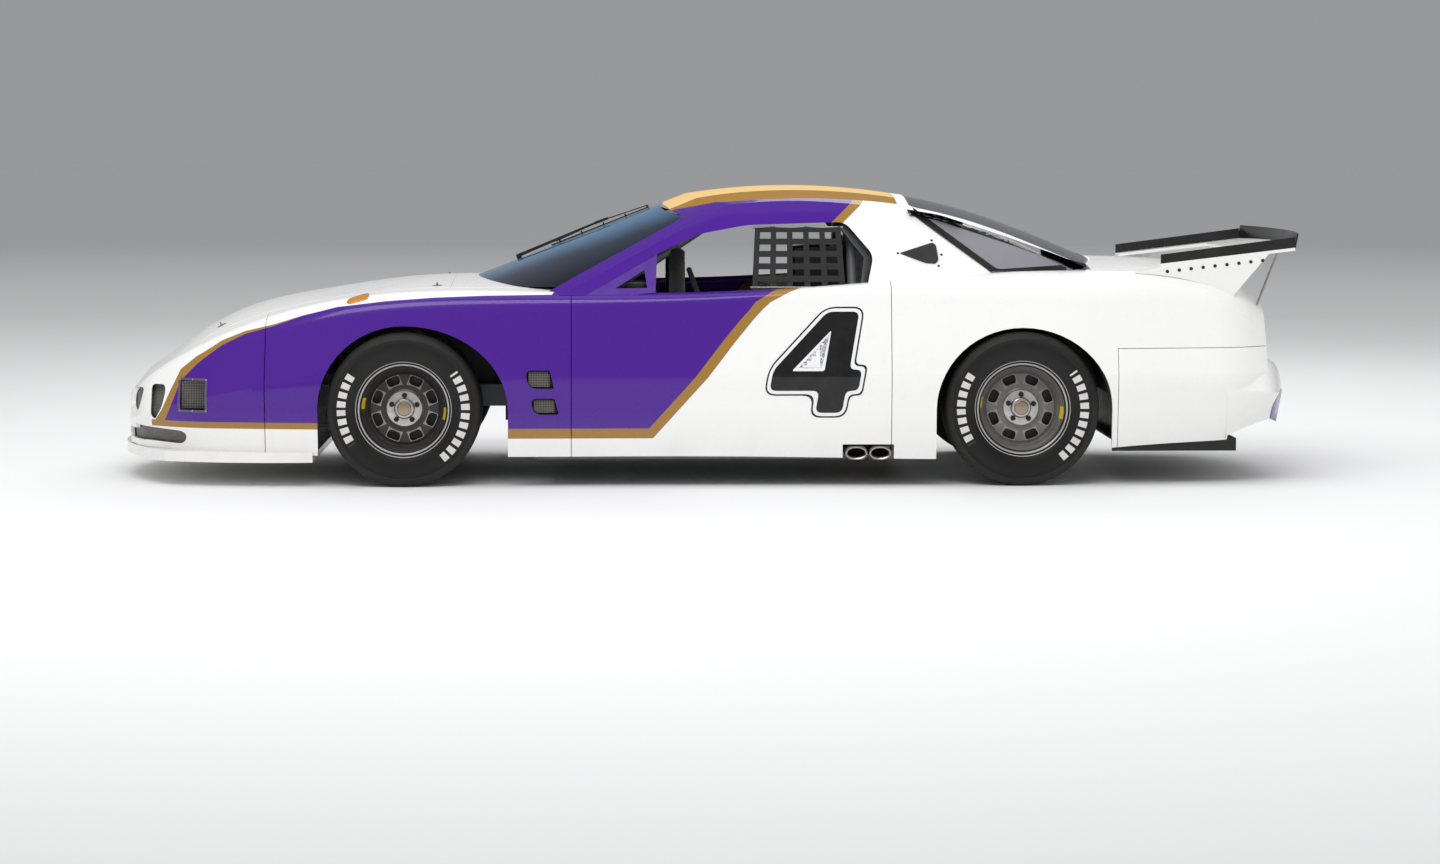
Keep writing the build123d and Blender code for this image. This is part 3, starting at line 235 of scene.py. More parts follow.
# the clear coat on every paint, with faint orange peel, and road dust low down
clearCoat = {
    "peelScale": 260.0,
    "peelStrength": 0.04,
    "peelDepth": 0.001,
    "dustScale": 9.0,
    "dustTop": 0.24,
    "dustFade": 0.22,
    "dustShare": 0.22,
    "dustTone": tone(150, 140, 125),
    "dustRough": 0.10,
    "rough": 0.23,
    "weight": 0.40,
    "coatRough": 0.06,
    "specular": 0.2,
}


def coatedPaint(board, colour, point):
    peel = board.noise(point, clearCoat["peelScale"], 2.0)
    dust = board.noise(point, clearCoat["dustScale"], 6.0)
    height = board.add("ShaderNodeSeparateXYZ", {}, (point,), 2)
    dusty = height.below(clearCoat["dustTop"], clearCoat["dustFade"]) * dust * clearCoat["dustShare"]
    return board.set(
        Base_Color=board.mix(dusty, colour, clearCoat["dustTone"]),
        Roughness=dust * clearCoat["dustRough"] + clearCoat["rough"],
        Coat_Weight=clearCoat["weight"],
        Coat_Roughness=clearCoat["coatRough"],
        Specular_IOR_Level=clearCoat["specular"],
        Normal=board.bump(peel, clearCoat["peelStrength"], clearCoat["peelDepth"]),
    )


def makeBodyPaint():
    board = Board("bodyPaint")
    point, (x, y, z) = board.place()
    upper, upperHalf = board.line(x, livery["upper"]), board.line(x, livery["upperHalf"])
    slash, slashHalf = board.line(z, livery["slash"]), board.line(z, livery["slashHalf"])
    stripe, stripeHalf = board.line(x, livery["stripe"]), board.line(x, livery["stripeHalf"])
    ahead = x.above(livery["front"])
    overStripe = (z - stripe).above(0.0)
    beforeSlash = (slash - x).above(0.0)
    cowl = x.above(livery["cowlFront"]) * y.size().below(livery["cowlHalf"])
    inPurple = (upper - z).above(0.0) * beforeSlash * overStripe * ahead * (1.0 - cowl)
    edge = upperHalf - (upper - z).size()
    onEdge = edge.above(0.0) * x.below(livery["goldRear"]) * ahead * overStripe
    onBand = (stripeHalf - (z - stripe).size()).above(0.0) * beforeSlash * ahead
    onCut = (slashHalf - (x - slash).size()).above(0.0) * (z - stripe + stripeHalf).above(0.0)
    gold = onEdge.most(onBand).most(onCut)
    patchX, patchZ, long, tall = livery["patch"]
    oval = ((x - patchX) / long).maths("POWER", 2.0) + ((z - patchZ) / tall).maths("POWER", 2.0)
    patch = (1.0 - oval).above(0.0, 0.02)
    colour = board.mix(inPurple.most(patch), paint["white"], paint["purple"])
    return coatedPaint(board, board.mix(gold, colour, paint["gold"]), point)


# half widths of the tan and gold fields over the roof, and the gold slash down its rear
roofLivery = {
    "tanHalf": [(-0.90, 0.360), (-0.14, 0.350), (0.10, 0.315), (0.55, 0.300), (0.86, 0.290)],
    "goldHalf": [(-0.90, 0.380), (-0.16, 0.400), (-0.09, 0.450), (0.0, 0.500), (0.10, 0.525),
                 (0.30, 0.528), (0.55, 0.505), (0.86, 0.470)],
    "slashX": 0.580,
    "slashZ": 1.190,
    "lean": 1.05,
    "slashHalf": 0.027,
    "tanRear": 0.862,
    "coat": 0.3,
    "rough": 0.34,
    "mattRough": 0.36,       # added on the tan and gold fields, which have no clear coat
}


def makeRoofPaint():
    board = Board("roofPaint")
    point, (x, y, z) = board.place()
    top = (board.line(x, roofLivery["tanHalf"]) - y.size()).above(0.0)
    strip = (board.line(x, roofLivery["goldHalf"]) - y.size()).above(0.0)
    slant = x - (z - roofLivery["slashZ"]) * roofLivery["lean"] - roofLivery["slashX"]
    half = roofLivery["slashHalf"]
    colour = board.mix((half - slant.size()).above(0.0), paint["purple"], paint["gold"])
    colour = board.mix(slant.above(half), colour, paint["white"])
    colour = board.mix(strip, colour, paint["gold"])
    colour = board.mix(top, colour, paint["tan"])
    colour = board.mix(x.above(roofLivery["tanRear"]), colour, paint["white"])
    coatedPaint(board, colour, point)
    matt = top.most(strip)
    return board.set(Coat_Weight=(1.0 - matt) * roofLivery["coat"],
                     Roughness=matt * roofLivery["mattRough"] + roofLivery["rough"], IOR=1.25)


def makePlainPaint(name, colour, worn=0.08):
    board = Board(name)
    point, _ = board.place()
    return coatedPaint(board, board.mix(board.noise(point, 14.0) * worn, colour, tone(190, 188, 184)),
                       point)


def makePlastic(name, colour, rough=0.45, grain=900.0, depth=0.0004):
    board = Board(name)
    point, _ = board.place()
    fine = board.noise(point, grain, 2.0)
    wear = board.noise(point, 11.0, 5.0)
    return board.set(
        Base_Color=board.mix(wear * 0.35, colour, tone(70, 69, 68)), Roughness=wear * 0.2 + (rough - 0.08),
        Normal=board.bump(fine, 0.25, depth),
    )


def makeMetal(name, colour, rough=0.35, metallic=1.0, scale=40.0):
    board = Board(name)
    point, _ = board.place()
    patch = board.noise(point, scale, 5.0)
    return board.set(
        Base_Color=board.mix(patch * 0.45, colour, tuple(c * 0.55 for c in colour[:3]) + (1.0,)),
        Roughness=patch * 0.22 + (rough - 0.1), Metallic=metallic,
        Normal=board.bump(board.noise(point, scale * 9, 2.0), 0.12, 0.0005),
    )


def makeGlass(name, tint, alpha):
    board = Board(name)
    point, _ = board.place()
    smear = board.noise(point, 5.0, 4.0)
    return board.set(
        Base_Color=board.mix(smear * 0.3, tint, tone(90, 96, 106)), Roughness=smear * 0.05 + 0.03,
        Alpha=smear * 0.08 + alpha, Specular_IOR_Level=0.6, IOR=1.45,
    )


# painted reflection and shade on the screen: a painted blue sky reflection at its middle, going to painted
# shade nearly black towards the pillars
screenSkyAndShade = {
    "stops": [(0.0, (0.050, 0.215, 0.400)), (0.35, (0.030, 0.125, 0.260)), (0.62, (0.004, 0.015, 0.040)),
              (1.0, (0.001, 0.003, 0.008))],
    "half": 0.80,
    "uneven": 0.14,
    "level": 1.0,
    "lean": 0.25,            # the dark edge comes in towards the top
    "alpha": 0.90,
}


def makeScreen():
    board = Board("screenGlass")
    point, (x, y, z) = board.place()
    smear = board.noise(point, 4.0, 5.0)
    drift = y.size() + (smear - 0.5) * screenSkyAndShade["uneven"] - (z - screenSkyAndShade["level"]) * screenSkyAndShade["lean"]
    return board.set(
        # the base colour is painted light: painted sky reflection in the middle, painted shade towards the
        # pillars and the top
        Base_Color=board.ramp(drift, 0.0, screenSkyAndShade["half"], screenSkyAndShade["stops"]),
        Roughness=smear * 0.06 + 0.03, Alpha=smear * 0.06 + screenSkyAndShade["alpha"],
        Specular_IOR_Level=0.5, IOR=1.45,
    )


# perforated metal: wires both ways over holes, by height and by the way round the corner; the holes are not
# cut but painted near black, a painted shade for the dark seen through them
grillePattern = {"pitch": 0.0062, "wire": 0.40, "soft": 0.12}


def makeGrille():
    board = Board("grilleMesh")
    point, (x, y, z) = board.place()
    across = (x + y.size()) / grillePattern["pitch"]
    threads = []
    for value in (across, z / grillePattern["pitch"]):
        swing = (value.maths("FRACT") - 0.5).size() * 2.0
        threads.append(swing.above(1.0 - grillePattern["wire"], grillePattern["soft"]))
    wire = threads[0].most(threads[1])
    grime = board.noise(point, 18.0, 5.0)
    colour = board.mix(grime, tone(150, 146, 138), tone(104, 100, 94))
    # painted shade in the holes between the wires
    colour = board.mix(wire, tone(34, 32, 30), colour)
    return board.set(Base_Color=colour, Metallic=wire * 0.4, Roughness=0.5,
                     Normal=board.bump(wire, 0.5, 0.0015))


# woven cloth: two sets of threads across each other
weave = {
    "scale": 420.0,
    "wander": 0.6,
    "share": 0.6,
    "thread": tone(48, 48, 50),
    "strength": 0.6,
    "depth": 0.0008,
}


def makeWebbing(name, colour):
    board = Board(name)
    point, _ = board.place()
    threads = []
    for way in ("Z", "X"):
        threads.append(board.add("ShaderNodeTexWave", {"wave_type": "BANDS", "bands_direction": way},
                                 {"Vector": point, "Scale": weave["scale"], "Distortion": weave["wander"]}))
    height = threads[0] * threads[1]
    return board.set(
        Base_Color=board.mix(height * weave["share"], colour, weave["thread"]),
        Roughness=0.85, Sheen_Weight=0.3,
        Normal=board.bump(height, weave["strength"], weave["depth"]),
    )


# white blocks on the tyre's wall between two radii, in two arcs; angles in radians round the axle
tyreMarks = {
    "lowRadius": 0.260,
    "highRadius": 0.299,
    "soft": 0.002,
    "pitch": 0.150,
    "fill": 0.66,
    "rearArc": 0.78,         # half of the arc towards the tail, and how far it is turned
    "rearTurn": 0.15,
    "frontArc": 2.55,        # where the arc towards the nose starts
    "wall": 0.10,
    "tread": 0.318,
    "beadLow": 0.2140,
    "beadHigh": 0.2166,
    "beadSoft": 0.0006,
    "ringPitch": 900.0,
}


def makeRubber(name, centre):
    board = Board(name)
    point, (x, y, z) = board.place(centre)
    radius = (x * x + z * z).maths("SQRT")
    angle = z.maths("ARCTAN2", x)
    soft, beadSoft = tyreMarks["soft"], tyreMarks["beadSoft"]
    wall = (y * (1.0 if centre[1] > 0 else -1.0)).above(tyreMarks["wall"], 0.004)
    ring = radius.above(tyreMarks["lowRadius"], soft) * radius.below(tyreMarks["highRadius"], soft)
    block = (angle / tyreMarks["pitch"]).maths("FRACT").below(tyreMarks["fill"], 0.06)
    rearArc = (angle + tyreMarks["rearTurn"]).size().below(tyreMarks["rearArc"], 0.01)
    frontArc = angle.size().above(tyreMarks["frontArc"], 0.01)
    white = ring * block * rearArc.most(frontArc) * wall
    bead = (radius.above(tyreMarks["beadLow"], beadSoft) * radius.below(tyreMarks["beadHigh"], beadSoft)
            * wall)
    scuff = board.noise(point, 30.0, 6.0)
    rings = (radius * tyreMarks["ringPitch"]).maths("SINE")
    wornTread = radius.above(tyreMarks["tread"], 0.01)
    colour = board.mix(scuff * 0.4, tone(11, 11, 11), tone(34, 33, 31))
    colour = board.mix(wornTread * (scuff * 0.6 + 0.2), colour, tone(50, 48, 46))
    colour = board.mix(bead, colour, tone(186, 184, 176))
    colour = board.mix(white * (1.0 - scuff * 0.35), colour, tone(226, 224, 220))
    return board.set(
        Base_Color=colour, Roughness=scuff * 0.15 + 0.36 + wornTread * 0.2, Specular_IOR_Level=0.35,
        Normal=board.bump(rings * 0.15 + scuff, 0.35, 0.0012),
    )


rimMarks = {
    "lip": 0.1985,
    "lineLow": 0.1950,
    "lineHigh": 0.1972,
    "hub": 0.084,
    "cap": 0.033,
    "tapeAngles": (-0.12, 3.02),
    "tapeHalf": 0.15,
    "tapeLow": 0.178,
    "tapeHigh": 0.190,
    "tapeOut": 0.05,
    "slotEdge": 0.0038,
    "slotOut": 0.02,
    "front": (tone(40, 38, 37), tone(74, 72, 71)),
    "rear": (tone(96, 94, 91), tone(134, 132, 128)),
}


# dark wheel coat with polished slot edges and lip, a thin yellow line and two tape marks
def makeRimCoat(name, centre):
    board = Board(name)
    point, (x, y, z) = board.place(centre)
    radius = (x * x + z * z).maths("SQRT")
    angle = z.maths("ARCTAN2", x)
    lip = radius.above(rimMarks["lip"], 0.001)
    line = radius.above(rimMarks["lineLow"], 0.0008) * radius.below(rimMarks["lineHigh"], 0.0008)
    hub = radius.below(rimMarks["hub"], 0.001)
    cap = radius.below(rimMarks["cap"], 0.001)
    outside = y * (1.0 if centre[1] > 0 else -1.0)
    marks = [(angle - middle).size().below(rimMarks["tapeHalf"], 0.004)
             for middle in rimMarks["tapeAngles"]]
    tape = marks[0].most(marks[1]) * radius.above(rimMarks["tapeLow"], 0.001)
    tape = tape * radius.below(rimMarks["tapeHigh"], 0.001) * outside.above(rimMarks["tapeOut"])
    slotTurn = 2 * math.pi / wheel["slots"]
    across = (((angle / slotTurn).maths("FRACT") - 0.5) * slotTurn * radius).size()
    beyond = (radius - wheel["slotRadius"]).size() - wheel["slotTall"] / 2
    apart = (across - wheel["slotLong"] / 2).most(beyond)
    rimmed = (rimMarks["slotEdge"] - apart).above(0.0, 0.001) * outside.above(rimMarks["slotOut"])
    wear = board.noise(point, 26.0, 6.0)
    dark = board.mix(wear, *rimMarks["front" if centre[0] < 0 else "rear"])
    colour = board.mix(rimmed, dark, tone(150, 147, 142))
    colour = board.mix(lip, colour, tone(196, 194, 188))
    colour = board.mix(line, colour, tone(214, 204, 96))
    colour = board.mix(tape, colour, tone(226, 198, 40))
    colour = board.mix(hub, colour, board.mix(wear, tone(222, 221, 218), tone(150, 149, 147)))
    colour = board.mix(cap, colour, tone(168, 150, 130))
    shine = lip.most(hub).most(rimmed * 0.7)
    return board.set(
        Base_Color=colour, Metallic=shine * 0.65 + 0.25, Roughness=0.38 - shine * 0.14 + wear * 0.1,
        Normal=board.bump(wear, 0.12, 0.0008),
    )


# sections of tyre, rim face, rim back and brake disc as (radius, outward) points, with the slots and nuts
wheel = {
    "tyre": [(0.2065, 0.1270), (0.2100, 0.1330), (0.2180, 0.1372), (0.2320, 0.1420), (0.2540, 0.1475),
             (0.2750, 0.1492), (0.2960, 0.1488), (0.3140, 0.1462), (0.3160, 0.1474), (0.3180, 0.1458),
             (0.3300, 0.1400), (0.3400, 0.1320), (0.3465, 0.1220), (0.3492, 0.1080), (0.3498, 0.0700),
             (0.3500, 0.0)],
    "rim": [(0.2060, 0.1268), (0.2055, 0.1276), (0.2010, 0.1276), (0.1985, 0.1255), (0.1975, 0.1200),
            (0.1930, 0.1175), (0.1915, 0.1000), (0.1900, 0.0760), (0.1790, 0.0640), (0.1750, 0.0500),
            (0.1745, 0.0330), (0.1700, 0.0285), (0.1620, 0.0300), (0.1540, 0.0360), (0.1100, 0.0395),
            (0.0920, 0.0405), (0.0835, 0.0450), (0.0820, 0.0560), (0.0790, 0.0590), (0.0480, 0.0600),
            (0.0455, 0.0625), (0.0440, 0.0760), (0.0400, 0.0790), (0.0330, 0.0795), (0.0320, 0.0870),
            (0.0290, 0.0895), (0.0150, 0.0905), (0.0, 0.0907)],
    "back": [(0.0, 0.0260), (0.0600, 0.0260), (0.1640, 0.0180), (0.1690, 0.0100), (0.1700, -0.0850),
             (0.1800, -0.0950), (0.1900, -0.1150), (0.1960, -0.1180), (0.1990, -0.1276), (0.2060, -0.1268),
             (0.1900, -0.1100), (0.1895, 0.1100)],
    "bead": [(0.1910, -0.1165), (0.1910, 0.1165)],
    "disc": [(0.0300, -0.0190), (0.1550, -0.0190), (0.1580, -0.0220), (0.1580, -0.0460), (0.1550, -0.0490),
             (0.0300, -0.0490), (0.0300, -0.0190)],
    "slots": 8,
    "slotRadius": 0.1310,
    "slotLong": 0.060,
    "slotTall": 0.040,
    "slotCorner": 0.0145,
    "slotFlare": 5.0,        # how much wider a slot gets outwards
    "slotRun": (0.015, 0.05),
    "nuts": 5,
    "nutRadius": 0.0600,
    "nutTurn": 0.3,
    "nut": [(0.0125, 0.0585), (0.0125, 0.0690), (0.0105, 0.0715), (0.0062, 0.0715), (0.0062, 0.0800),
            (0.0040, 0.0815)],
    "tyreTurns": 96,
    "rimTurns": 72,
    "discTurns": 64,
}

finish = {
    "body": makeBodyPaint(),
    "roof": makeRoofPaint(),
    "white": makePlainPaint("whitePaint", paint["white"]),
    "black": makePlastic("blackPlastic", paint["black"], 0.38),
    "gloss": makePlastic("glossBlack", tone(10, 10, 12), 0.18, 500.0, 0.0001),
    "purple": makePlainPaint("purplePaint", paint["purple"]),
    "frameGrey": makeMetal("frameCoat", tone(120, 122, 126), 0.5, 0.3),
    "dark": makeMetal("darkCoat", tone(34, 34, 36), 0.55, 0.2),
    "steel": makeMetal("brushedSteel", tone(176, 174, 170), 0.3),
    "cast": makeMetal("castMetal", tone(88, 88, 90), 0.6, 0.7),
    "exhaust": makeMetal("heatedSteel", tone(138, 122, 104), 0.4),
    "sheet": makeMetal("sheetFloor", tone(150, 152, 155), 0.42, 0.8),
    "web": makeWebbing("netWebbing", tone(9, 9, 10)),
    "pad": makeWebbing("padCloth", tone(20, 20, 22)),
    "screen": makeScreen(),
    "sideGlass": makeGlass("sideGlass", tone(168, 166, 174), 0.60),
    "rearGlass": makeGlass("rearGlass", tone(84, 92, 104), 0.62),
    "grille": makeGrille(),
    "wire": makeMetal("wireMesh", tone(150, 146, 138), 0.45, 0.5),
    "frameTrim": makePlastic("ductTrim", tone(96, 80, 116), 0.35),
    "blackGlass": makePlastic("printedBorder", tone(8, 8, 10), 0.22, 600.0, 0.0001),
    "shell": makePlastic("seatShell", tone(20, 20, 22), 0.35),
    "pipeEnd": makeMetal("polishedPipe", tone(196, 190, 182), 0.22),
    "soot": makePlastic("sootLining", tone(12, 11, 10), 0.8),
    "numberBlack": makePlainPaint("numberBlack", tone(7, 7, 9), 0.03),
    "numberWhite": makePlainPaint("numberWhite", tone(236, 236, 238)),
    "amber": makePlastic("amberLens", tone(206, 134, 20), 0.2, 700.0, 0.0006),
}
print("materials ready")


# body shape
size = {
    "halfWidth": 0.955,
    "height": 1.347,
    "frontAxle": -1.395,
    "rearAxle": 1.399,
    "frontReach": 1.350,
    "rearReach": 1.265,
    "wheelY": 0.771,
    "tyre": 0.350,
    "wall": 0.018,
}

# each row: place, foot width and height, widest width and height, shoulder width, height and run, and
# centre height. Places count the front axle as 0 and the rear one as 1; the rest are shares of half the
# width or of the height
bodyRows = [
    (-0.960, 0.36, 0.118, 0.400, 0.20, 0.350, 0.290, 0.030, 0.312),
    (-0.920, 0.52, 0.118, 0.575, 0.22, 0.500, 0.325, 0.035, 0.360),
    (-0.850, 0.66, 0.118, 0.720, 0.25, 0.630, 0.378, 0.045, 0.412),
    (-0.745, 0.78, 0.113, 0.840, 0.28, 0.735, 0.440, 0.055, 0.488),
    (-0.570, 0.87, 0.108, 0.920, 0.32, 0.810, 0.522, 0.075, 0.578),
    (-0.300, 0.93, 0.105, 0.975, 0.35, 0.870, 0.607, 0.085, 0.637),
    (0.000, 0.965, 0.104, 1.000, 0.36, 0.915, 0.648, 0.085, 0.678),
    (0.180, 0.960, 0.102, 0.990, 0.37, 0.920, 0.652, 0.070, 0.684),
    (0.450, 0.950, 0.102, 0.985, 0.37, 0.925, 0.648, 0.045, 0.668),
    (0.750, 0.955, 0.095, 0.990, 0.37, 0.920, 0.678, 0.050, 0.705),
    (1.000, 0.965, 0.100, 1.000, 0.37, 0.885, 0.712, 0.115, 0.743),
    (1.350, 0.940, 0.130, 0.985, 0.37, 0.860, 0.712, 0.120, 0.748),
    (1.650, 0.880, 0.145, 0.945, 0.36, 0.815, 0.692, 0.120, 0.730),
    (1.820, 0.800, 0.155, 0.885, 0.36, 0.750, 0.640, 0.110, 0.678),
    (1.900, 0.700, 0.165, 0.800, 0.37, 0.660, 0.590, 0.100, 0.628),
]
bumperRows = [
    (1.740, 0.860, 0.150, 0.915, 0.31, 0.880, 0.440, 0.040, 0.446),
    (1.860, 0.770, 0.150, 0.870, 0.31, 0.800, 0.430, 0.060, 0.437),
    (1.945, 0.600, 0.163, 0.740, 0.30, 0.640, 0.400, 0.070, 0.410),
    (2.000, 0.320, 0.195, 0.450, 0.29, 0.360, 0.365, 0.050, 0.375),
]

# points along half a section: foot to widest, on to the shoulder, round it, then over the top
sectionCells = {"foot": 20, "side": 40, "corner": 20, "top": 40}
crease = sectionCells["foot"]
crown = crease + sectionCells["side"] + sectionCells["corner"]


def along(place):
    if place < 0:
        return size["frontAxle"] + place * size["frontReach"]
    if place <= 1:
        return size["frontAxle"] + place * (size["rearAxle"] - size["frontAxle"])
    return size["rearAxle"] + (place - 1) * size["rearReach"]


def rowProfile(row):
    # Half of one section, from its foot to the centre line
    _, footWide, footHigh, sideWide, sideHigh, cornerWide, cornerHigh, run, centreHigh = row
    scale = np.array([size["halfWidth"], size["height"]])
    foot, wide = np.array([footWide, footHigh]) * scale, np.array([sideWide, sideHigh]) * scale
    corner, top = np.array([cornerWide, cornerHigh]) * scale, np.array([0.0, centreHigh]) * scale
    down = (wide - corner) / np.linalg.norm(wide - corner)
    inward = (top - corner) / np.linalg.norm(top - corner)
    reach = run * size["halfWidth"]
    a, b = corner + down * reach, corner + inward * reach
    half = math.acos(float(down @ inward)) / 2
    radius = reach * math.tan(half)
    bisect = (down + inward) / np.linalg.norm(down + inward)
    centre = corner + bisect * (radius / math.sin(half))
    parts = [foot + (wide - foot) * t for t in np.linspace(0, 1, sectionCells["foot"], endpoint=False)]
    parts += [wide + (a - wide) * t for t in np.linspace(0, 1, sectionCells["side"], endpoint=False)]
    start = math.atan2(*(a - centre)[::-1])
    turn = math.atan2(*(b - centre)[::-1]) - start
    for t in np.linspace(0, 1, sectionCells["corner"], endpoint=False):
        parts.append(centre + radius * np.array([math.cos(start + turn * t), math.sin(start + turn * t)]))
    rise = top[1] - b[1]
    big = (b[0] ** 2 + rise ** 2) / (2 * rise) if rise > 1e-5 else 1e5     # radius of the arc over the top
    for t in np.linspace(0, 1, sectionCells["top"] + 1):
        y = b[0] * (1 - t)
        parts.append(np.array([y, top[1] - big + math.sqrt(big * big - y * y)]))
    return np.array(parts)


def naturalSpline(xs, values):
    # Natural cubic through rows of values at xs; gives back the function that reads it
    n = len(xs)
    h = np.diff(xs)
    system = np.eye(n)
    right = np.zeros((n,) + values.shape[1:])
    for i in range(1, n - 1):
        system[i, i - 1], system[i, i], system[i, i + 1] = h[i - 1], 2 * (h[i - 1] + h[i]), h[i]
        right[i] = 6 * ((values[i + 1] - values[i]) / h[i] - (values[i] - values[i - 1]) / h[i - 1])
    bend = np.linalg.solve(system, right.reshape(n, -1)).reshape(right.shape)

    def read(at):
        i = int(np.clip(np.searchsorted(xs, at) - 1, 0, n - 2))
        a, b = (xs[i + 1] - at) / h[i], (at - xs[i]) / h[i]
        return (a * values[i] + b * values[i + 1]
                + ((a ** 3 - a) * bend[i] + (b ** 3 - b) * bend[i + 1]) * h[i] ** 2 / 6)
    return read


bodyX = np.array([along(r[0]) for r in bodyRows])
bodyProfile = naturalSpline(bodyX, np.array([rowProfile(r) for r in bodyRows]))
bumperX = np.array([along(r[0]) for r in bumperRows])
bumperProfile = naturalSpline(bumperX, np.array([rowProfile(r) for r in bumperRows]))

seams = {
    "nose": -2.020,
    "hoodFront": -2.330,
    "hoodRear": -1.190,
    "doorFront": -0.640,
    "doorRear": 0.805,
    "bumper": 1.830,
    "bumperTop": 0.622,
    "lidFront": 1.850,
    "lidRear": 2.370,
    "cowlRear": -0.500,
    "gap": 0.0028,
    "hinge": 0.0006,         # half of the seam at the hinged edge of a lid
    "lidX": [-2.70, -2.55, -2.33, -1.19, 0.8, 1.75, 2.45, 2.54],
    "lidHalf": [0.20, 0.40, 0.573, 0.7115, 0.7115, 0.570, 0.570, 0.52],
    "lidMost": 0.97,         # share of the shoulder's width that a lid may reach
    "widest": 0.920,         # the skin is drawn in beyond this half width
    "drawIn": 0.09,
}
gap, hinge = seams["gap"], seams["hinge"]

# cells across half of the skin: below the side crease, all of the side, and the top
skinCells = {"low": 8, "side": 46, "top": 26}


def columnsAt(x):
    # Points across one half section: side columns, a pair at the lid's seam, then top columns
    points = np.array(bodyProfile(x))
    points[:, 0] -= np.maximum(points[:, 0] - seams["widest"], 0.0) * seams["drawIn"]
    edge = min(float(np.interp(x, seams["lidX"], seams["lidHalf"])), points[crown, 0] * seams["lidMost"])
    start = crown - 2
    steps = np.arange(len(points) - start)
    outer, inner = [start + np.interp(-half, -points[start:, 0], steps)
                    for half in (edge + gap, edge - gap)]
    lower = np.linspace(0, crease, skinCells["low"] + 1)
    upper = np.linspace(crease, outer, skinCells["side"] - skinCells["low"] + 1)[1:]
    spots = np.concatenate([lower, upper, np.linspace(inner, len(points) - 1, skinCells["top"] + 1)])
    index = np.arange(len(points))
    return np.stack([np.interp(spots, index, points[:, k]) for k in (0, 1)], 1)


def quads(rings, width, closed=True, start=0):
    # Faces between rings of points; closed joins the last point of a ring to its first
    faces = []
    for i in range(rings - 1):
        for j in range(width if closed else width - 1):
            a, b = start + i * width + j, start + i * width + (j + 1) % width
            faces.append((a, b, b + width, a + width))
    return faces


def circle(turns, radius=1.0, start=0.0):
    angles = [start + 2 * math.pi * k / turns for k in range(turns)]
    return [(radius * math.cos(a), radius * math.sin(a)) for a in angles]


def newObject(name, mesh):
    thing = bpy.data.objects.new(name, mesh)
    bpy.context.scene.collection.objects.link(thing)
    return thing


def meshFrom(name, vertices, faces):
    mesh = bpy.data.meshes.new(name)
    mesh.from_pydata([tuple(v) for v in vertices], [], faces)
    mesh.validate()
    return newObject(name, mesh)


def applyAll(thing):
    # Bake the modifiers into a plain mesh
    graph = bpy.context.evaluated_depsgraph_get()
    made = bpy.data.meshes.new_from_object(thing.evaluated_get(graph))
    old = thing.data
    thing.modifiers.clear()
    thing.data = made
    made.name = thing.name
    bpy.data.meshes.remove(old)
    return thing


def recalc(thing, merge=0.0001):
    work = bmesh.new()
    work.from_mesh(thing.data)
    bmesh.ops.remove_doubles(work, verts=work.verts, dist=merge)
    bmesh.ops.recalc_face_normals(work, faces=work.faces)
    work.to_mesh(thing.data)
    work.free()
    return thing


def smooth(thing, angle=32.0):
    mesh = thing.data
    work = bmesh.new()
    work.from_mesh(mesh)
    for face in work.faces:
        face.smooth = True
    for edge in work.edges:
        edge.smooth = not (len(edge.link_faces) == 2 and edge.calc_face_angle(0) > math.radians(angle))
    work.to_mesh(mesh)
    work.free()
    return thing


def modify(thing, kind, **values):
    modifier = thing.modifiers.new(kind.lower(), kind)
    for key, value in values.items():
        setattr(modifier, key, value)
    return modifier


def softEdges(thing, width, segments, angle, **others):
    # Bevel the edges sharper than an angle in degrees, and bake what the piece carries
    modify(thing, "BEVEL", width=width, segments=segments, limit_method="ANGLE",
           angle_limit=math.radians(angle), **others)
    return applyAll(thing)


def cut(thing, cutters, operation="DIFFERENCE"):
    for cutter in cutters if isinstance(cutters, list) else [cutters]:
        modify(thing, "BOOLEAN", operation=operation, solver="EXACT", object=cutter)
        applyAll(thing)
    return thing


def panel(name, x0, x1, parts, rows=0.03, openTop=(), capEnd=None):
    # A piece of the body's skin. parts names the columns it has: side, gap and top.
    # Between the two places of openTop it has its sides only.
    count = max(2, round((x1 - x0) / rows))
    spots = set(np.round(np.linspace(x0, x1, count + 1), 5))
    xs = sorted(spots | {round(v, 5) for v in openTop if x0 < v < x1})
    grid = []
    for x in xs:
        half = columnsAt(x)
        grid.append([(x, -y, z) for y, z in half] + [(x, y, z) for y, z in half[:-1][::-1]])
    width = len(grid[0])
    faces = []
    for i in range(len(xs) - 1):
        middle = (xs[i] + xs[i + 1]) / 2
        kept = ("side",) if openTop and openTop[0] <= middle <= openTop[1] else parts
        for j in range(width - 1):
            column = min(j, width - 2 - j)
            kind = ("side" if column < skinCells["side"]
                    else ("gap" if column == skinCells["side"] else "top"))
            if kind in kept:
                a = i * width + j
                faces.append((a, a + width, a + width + 1, a + 1))
    thing = meshFrom(name, [point for row in grid for point in row], faces)
    if capEnd:
        capRows(thing, grid, capEnd)
    work = bmesh.new()
    work.from_mesh(thing.data)
    bmesh.ops.delete(work, geom=[v for v in work.verts if not v.link_faces], context="VERTS")
    bmesh.ops.remove_doubles(work, verts=work.verts, dist=0.0001)
    bmesh.ops.recalc_face_normals(work, faces=work.faces)
    outward = 0.0
    for face in work.faces:
        middle = face.calc_center_median()
        outward += face.normal.dot(middle - Vector((middle.x, 0, size["tyre"])))
    if outward < 0:
        bmesh.ops.reverse_faces(work, faces=work.faces)
    work.to_mesh(thing.data)
    work.free()
    modify(thing, "SOLIDIFY", thickness=size["wall"], offset=-1.0, use_even_offset=False)
    return softEdges(thing, 0.0014, 1, 55)


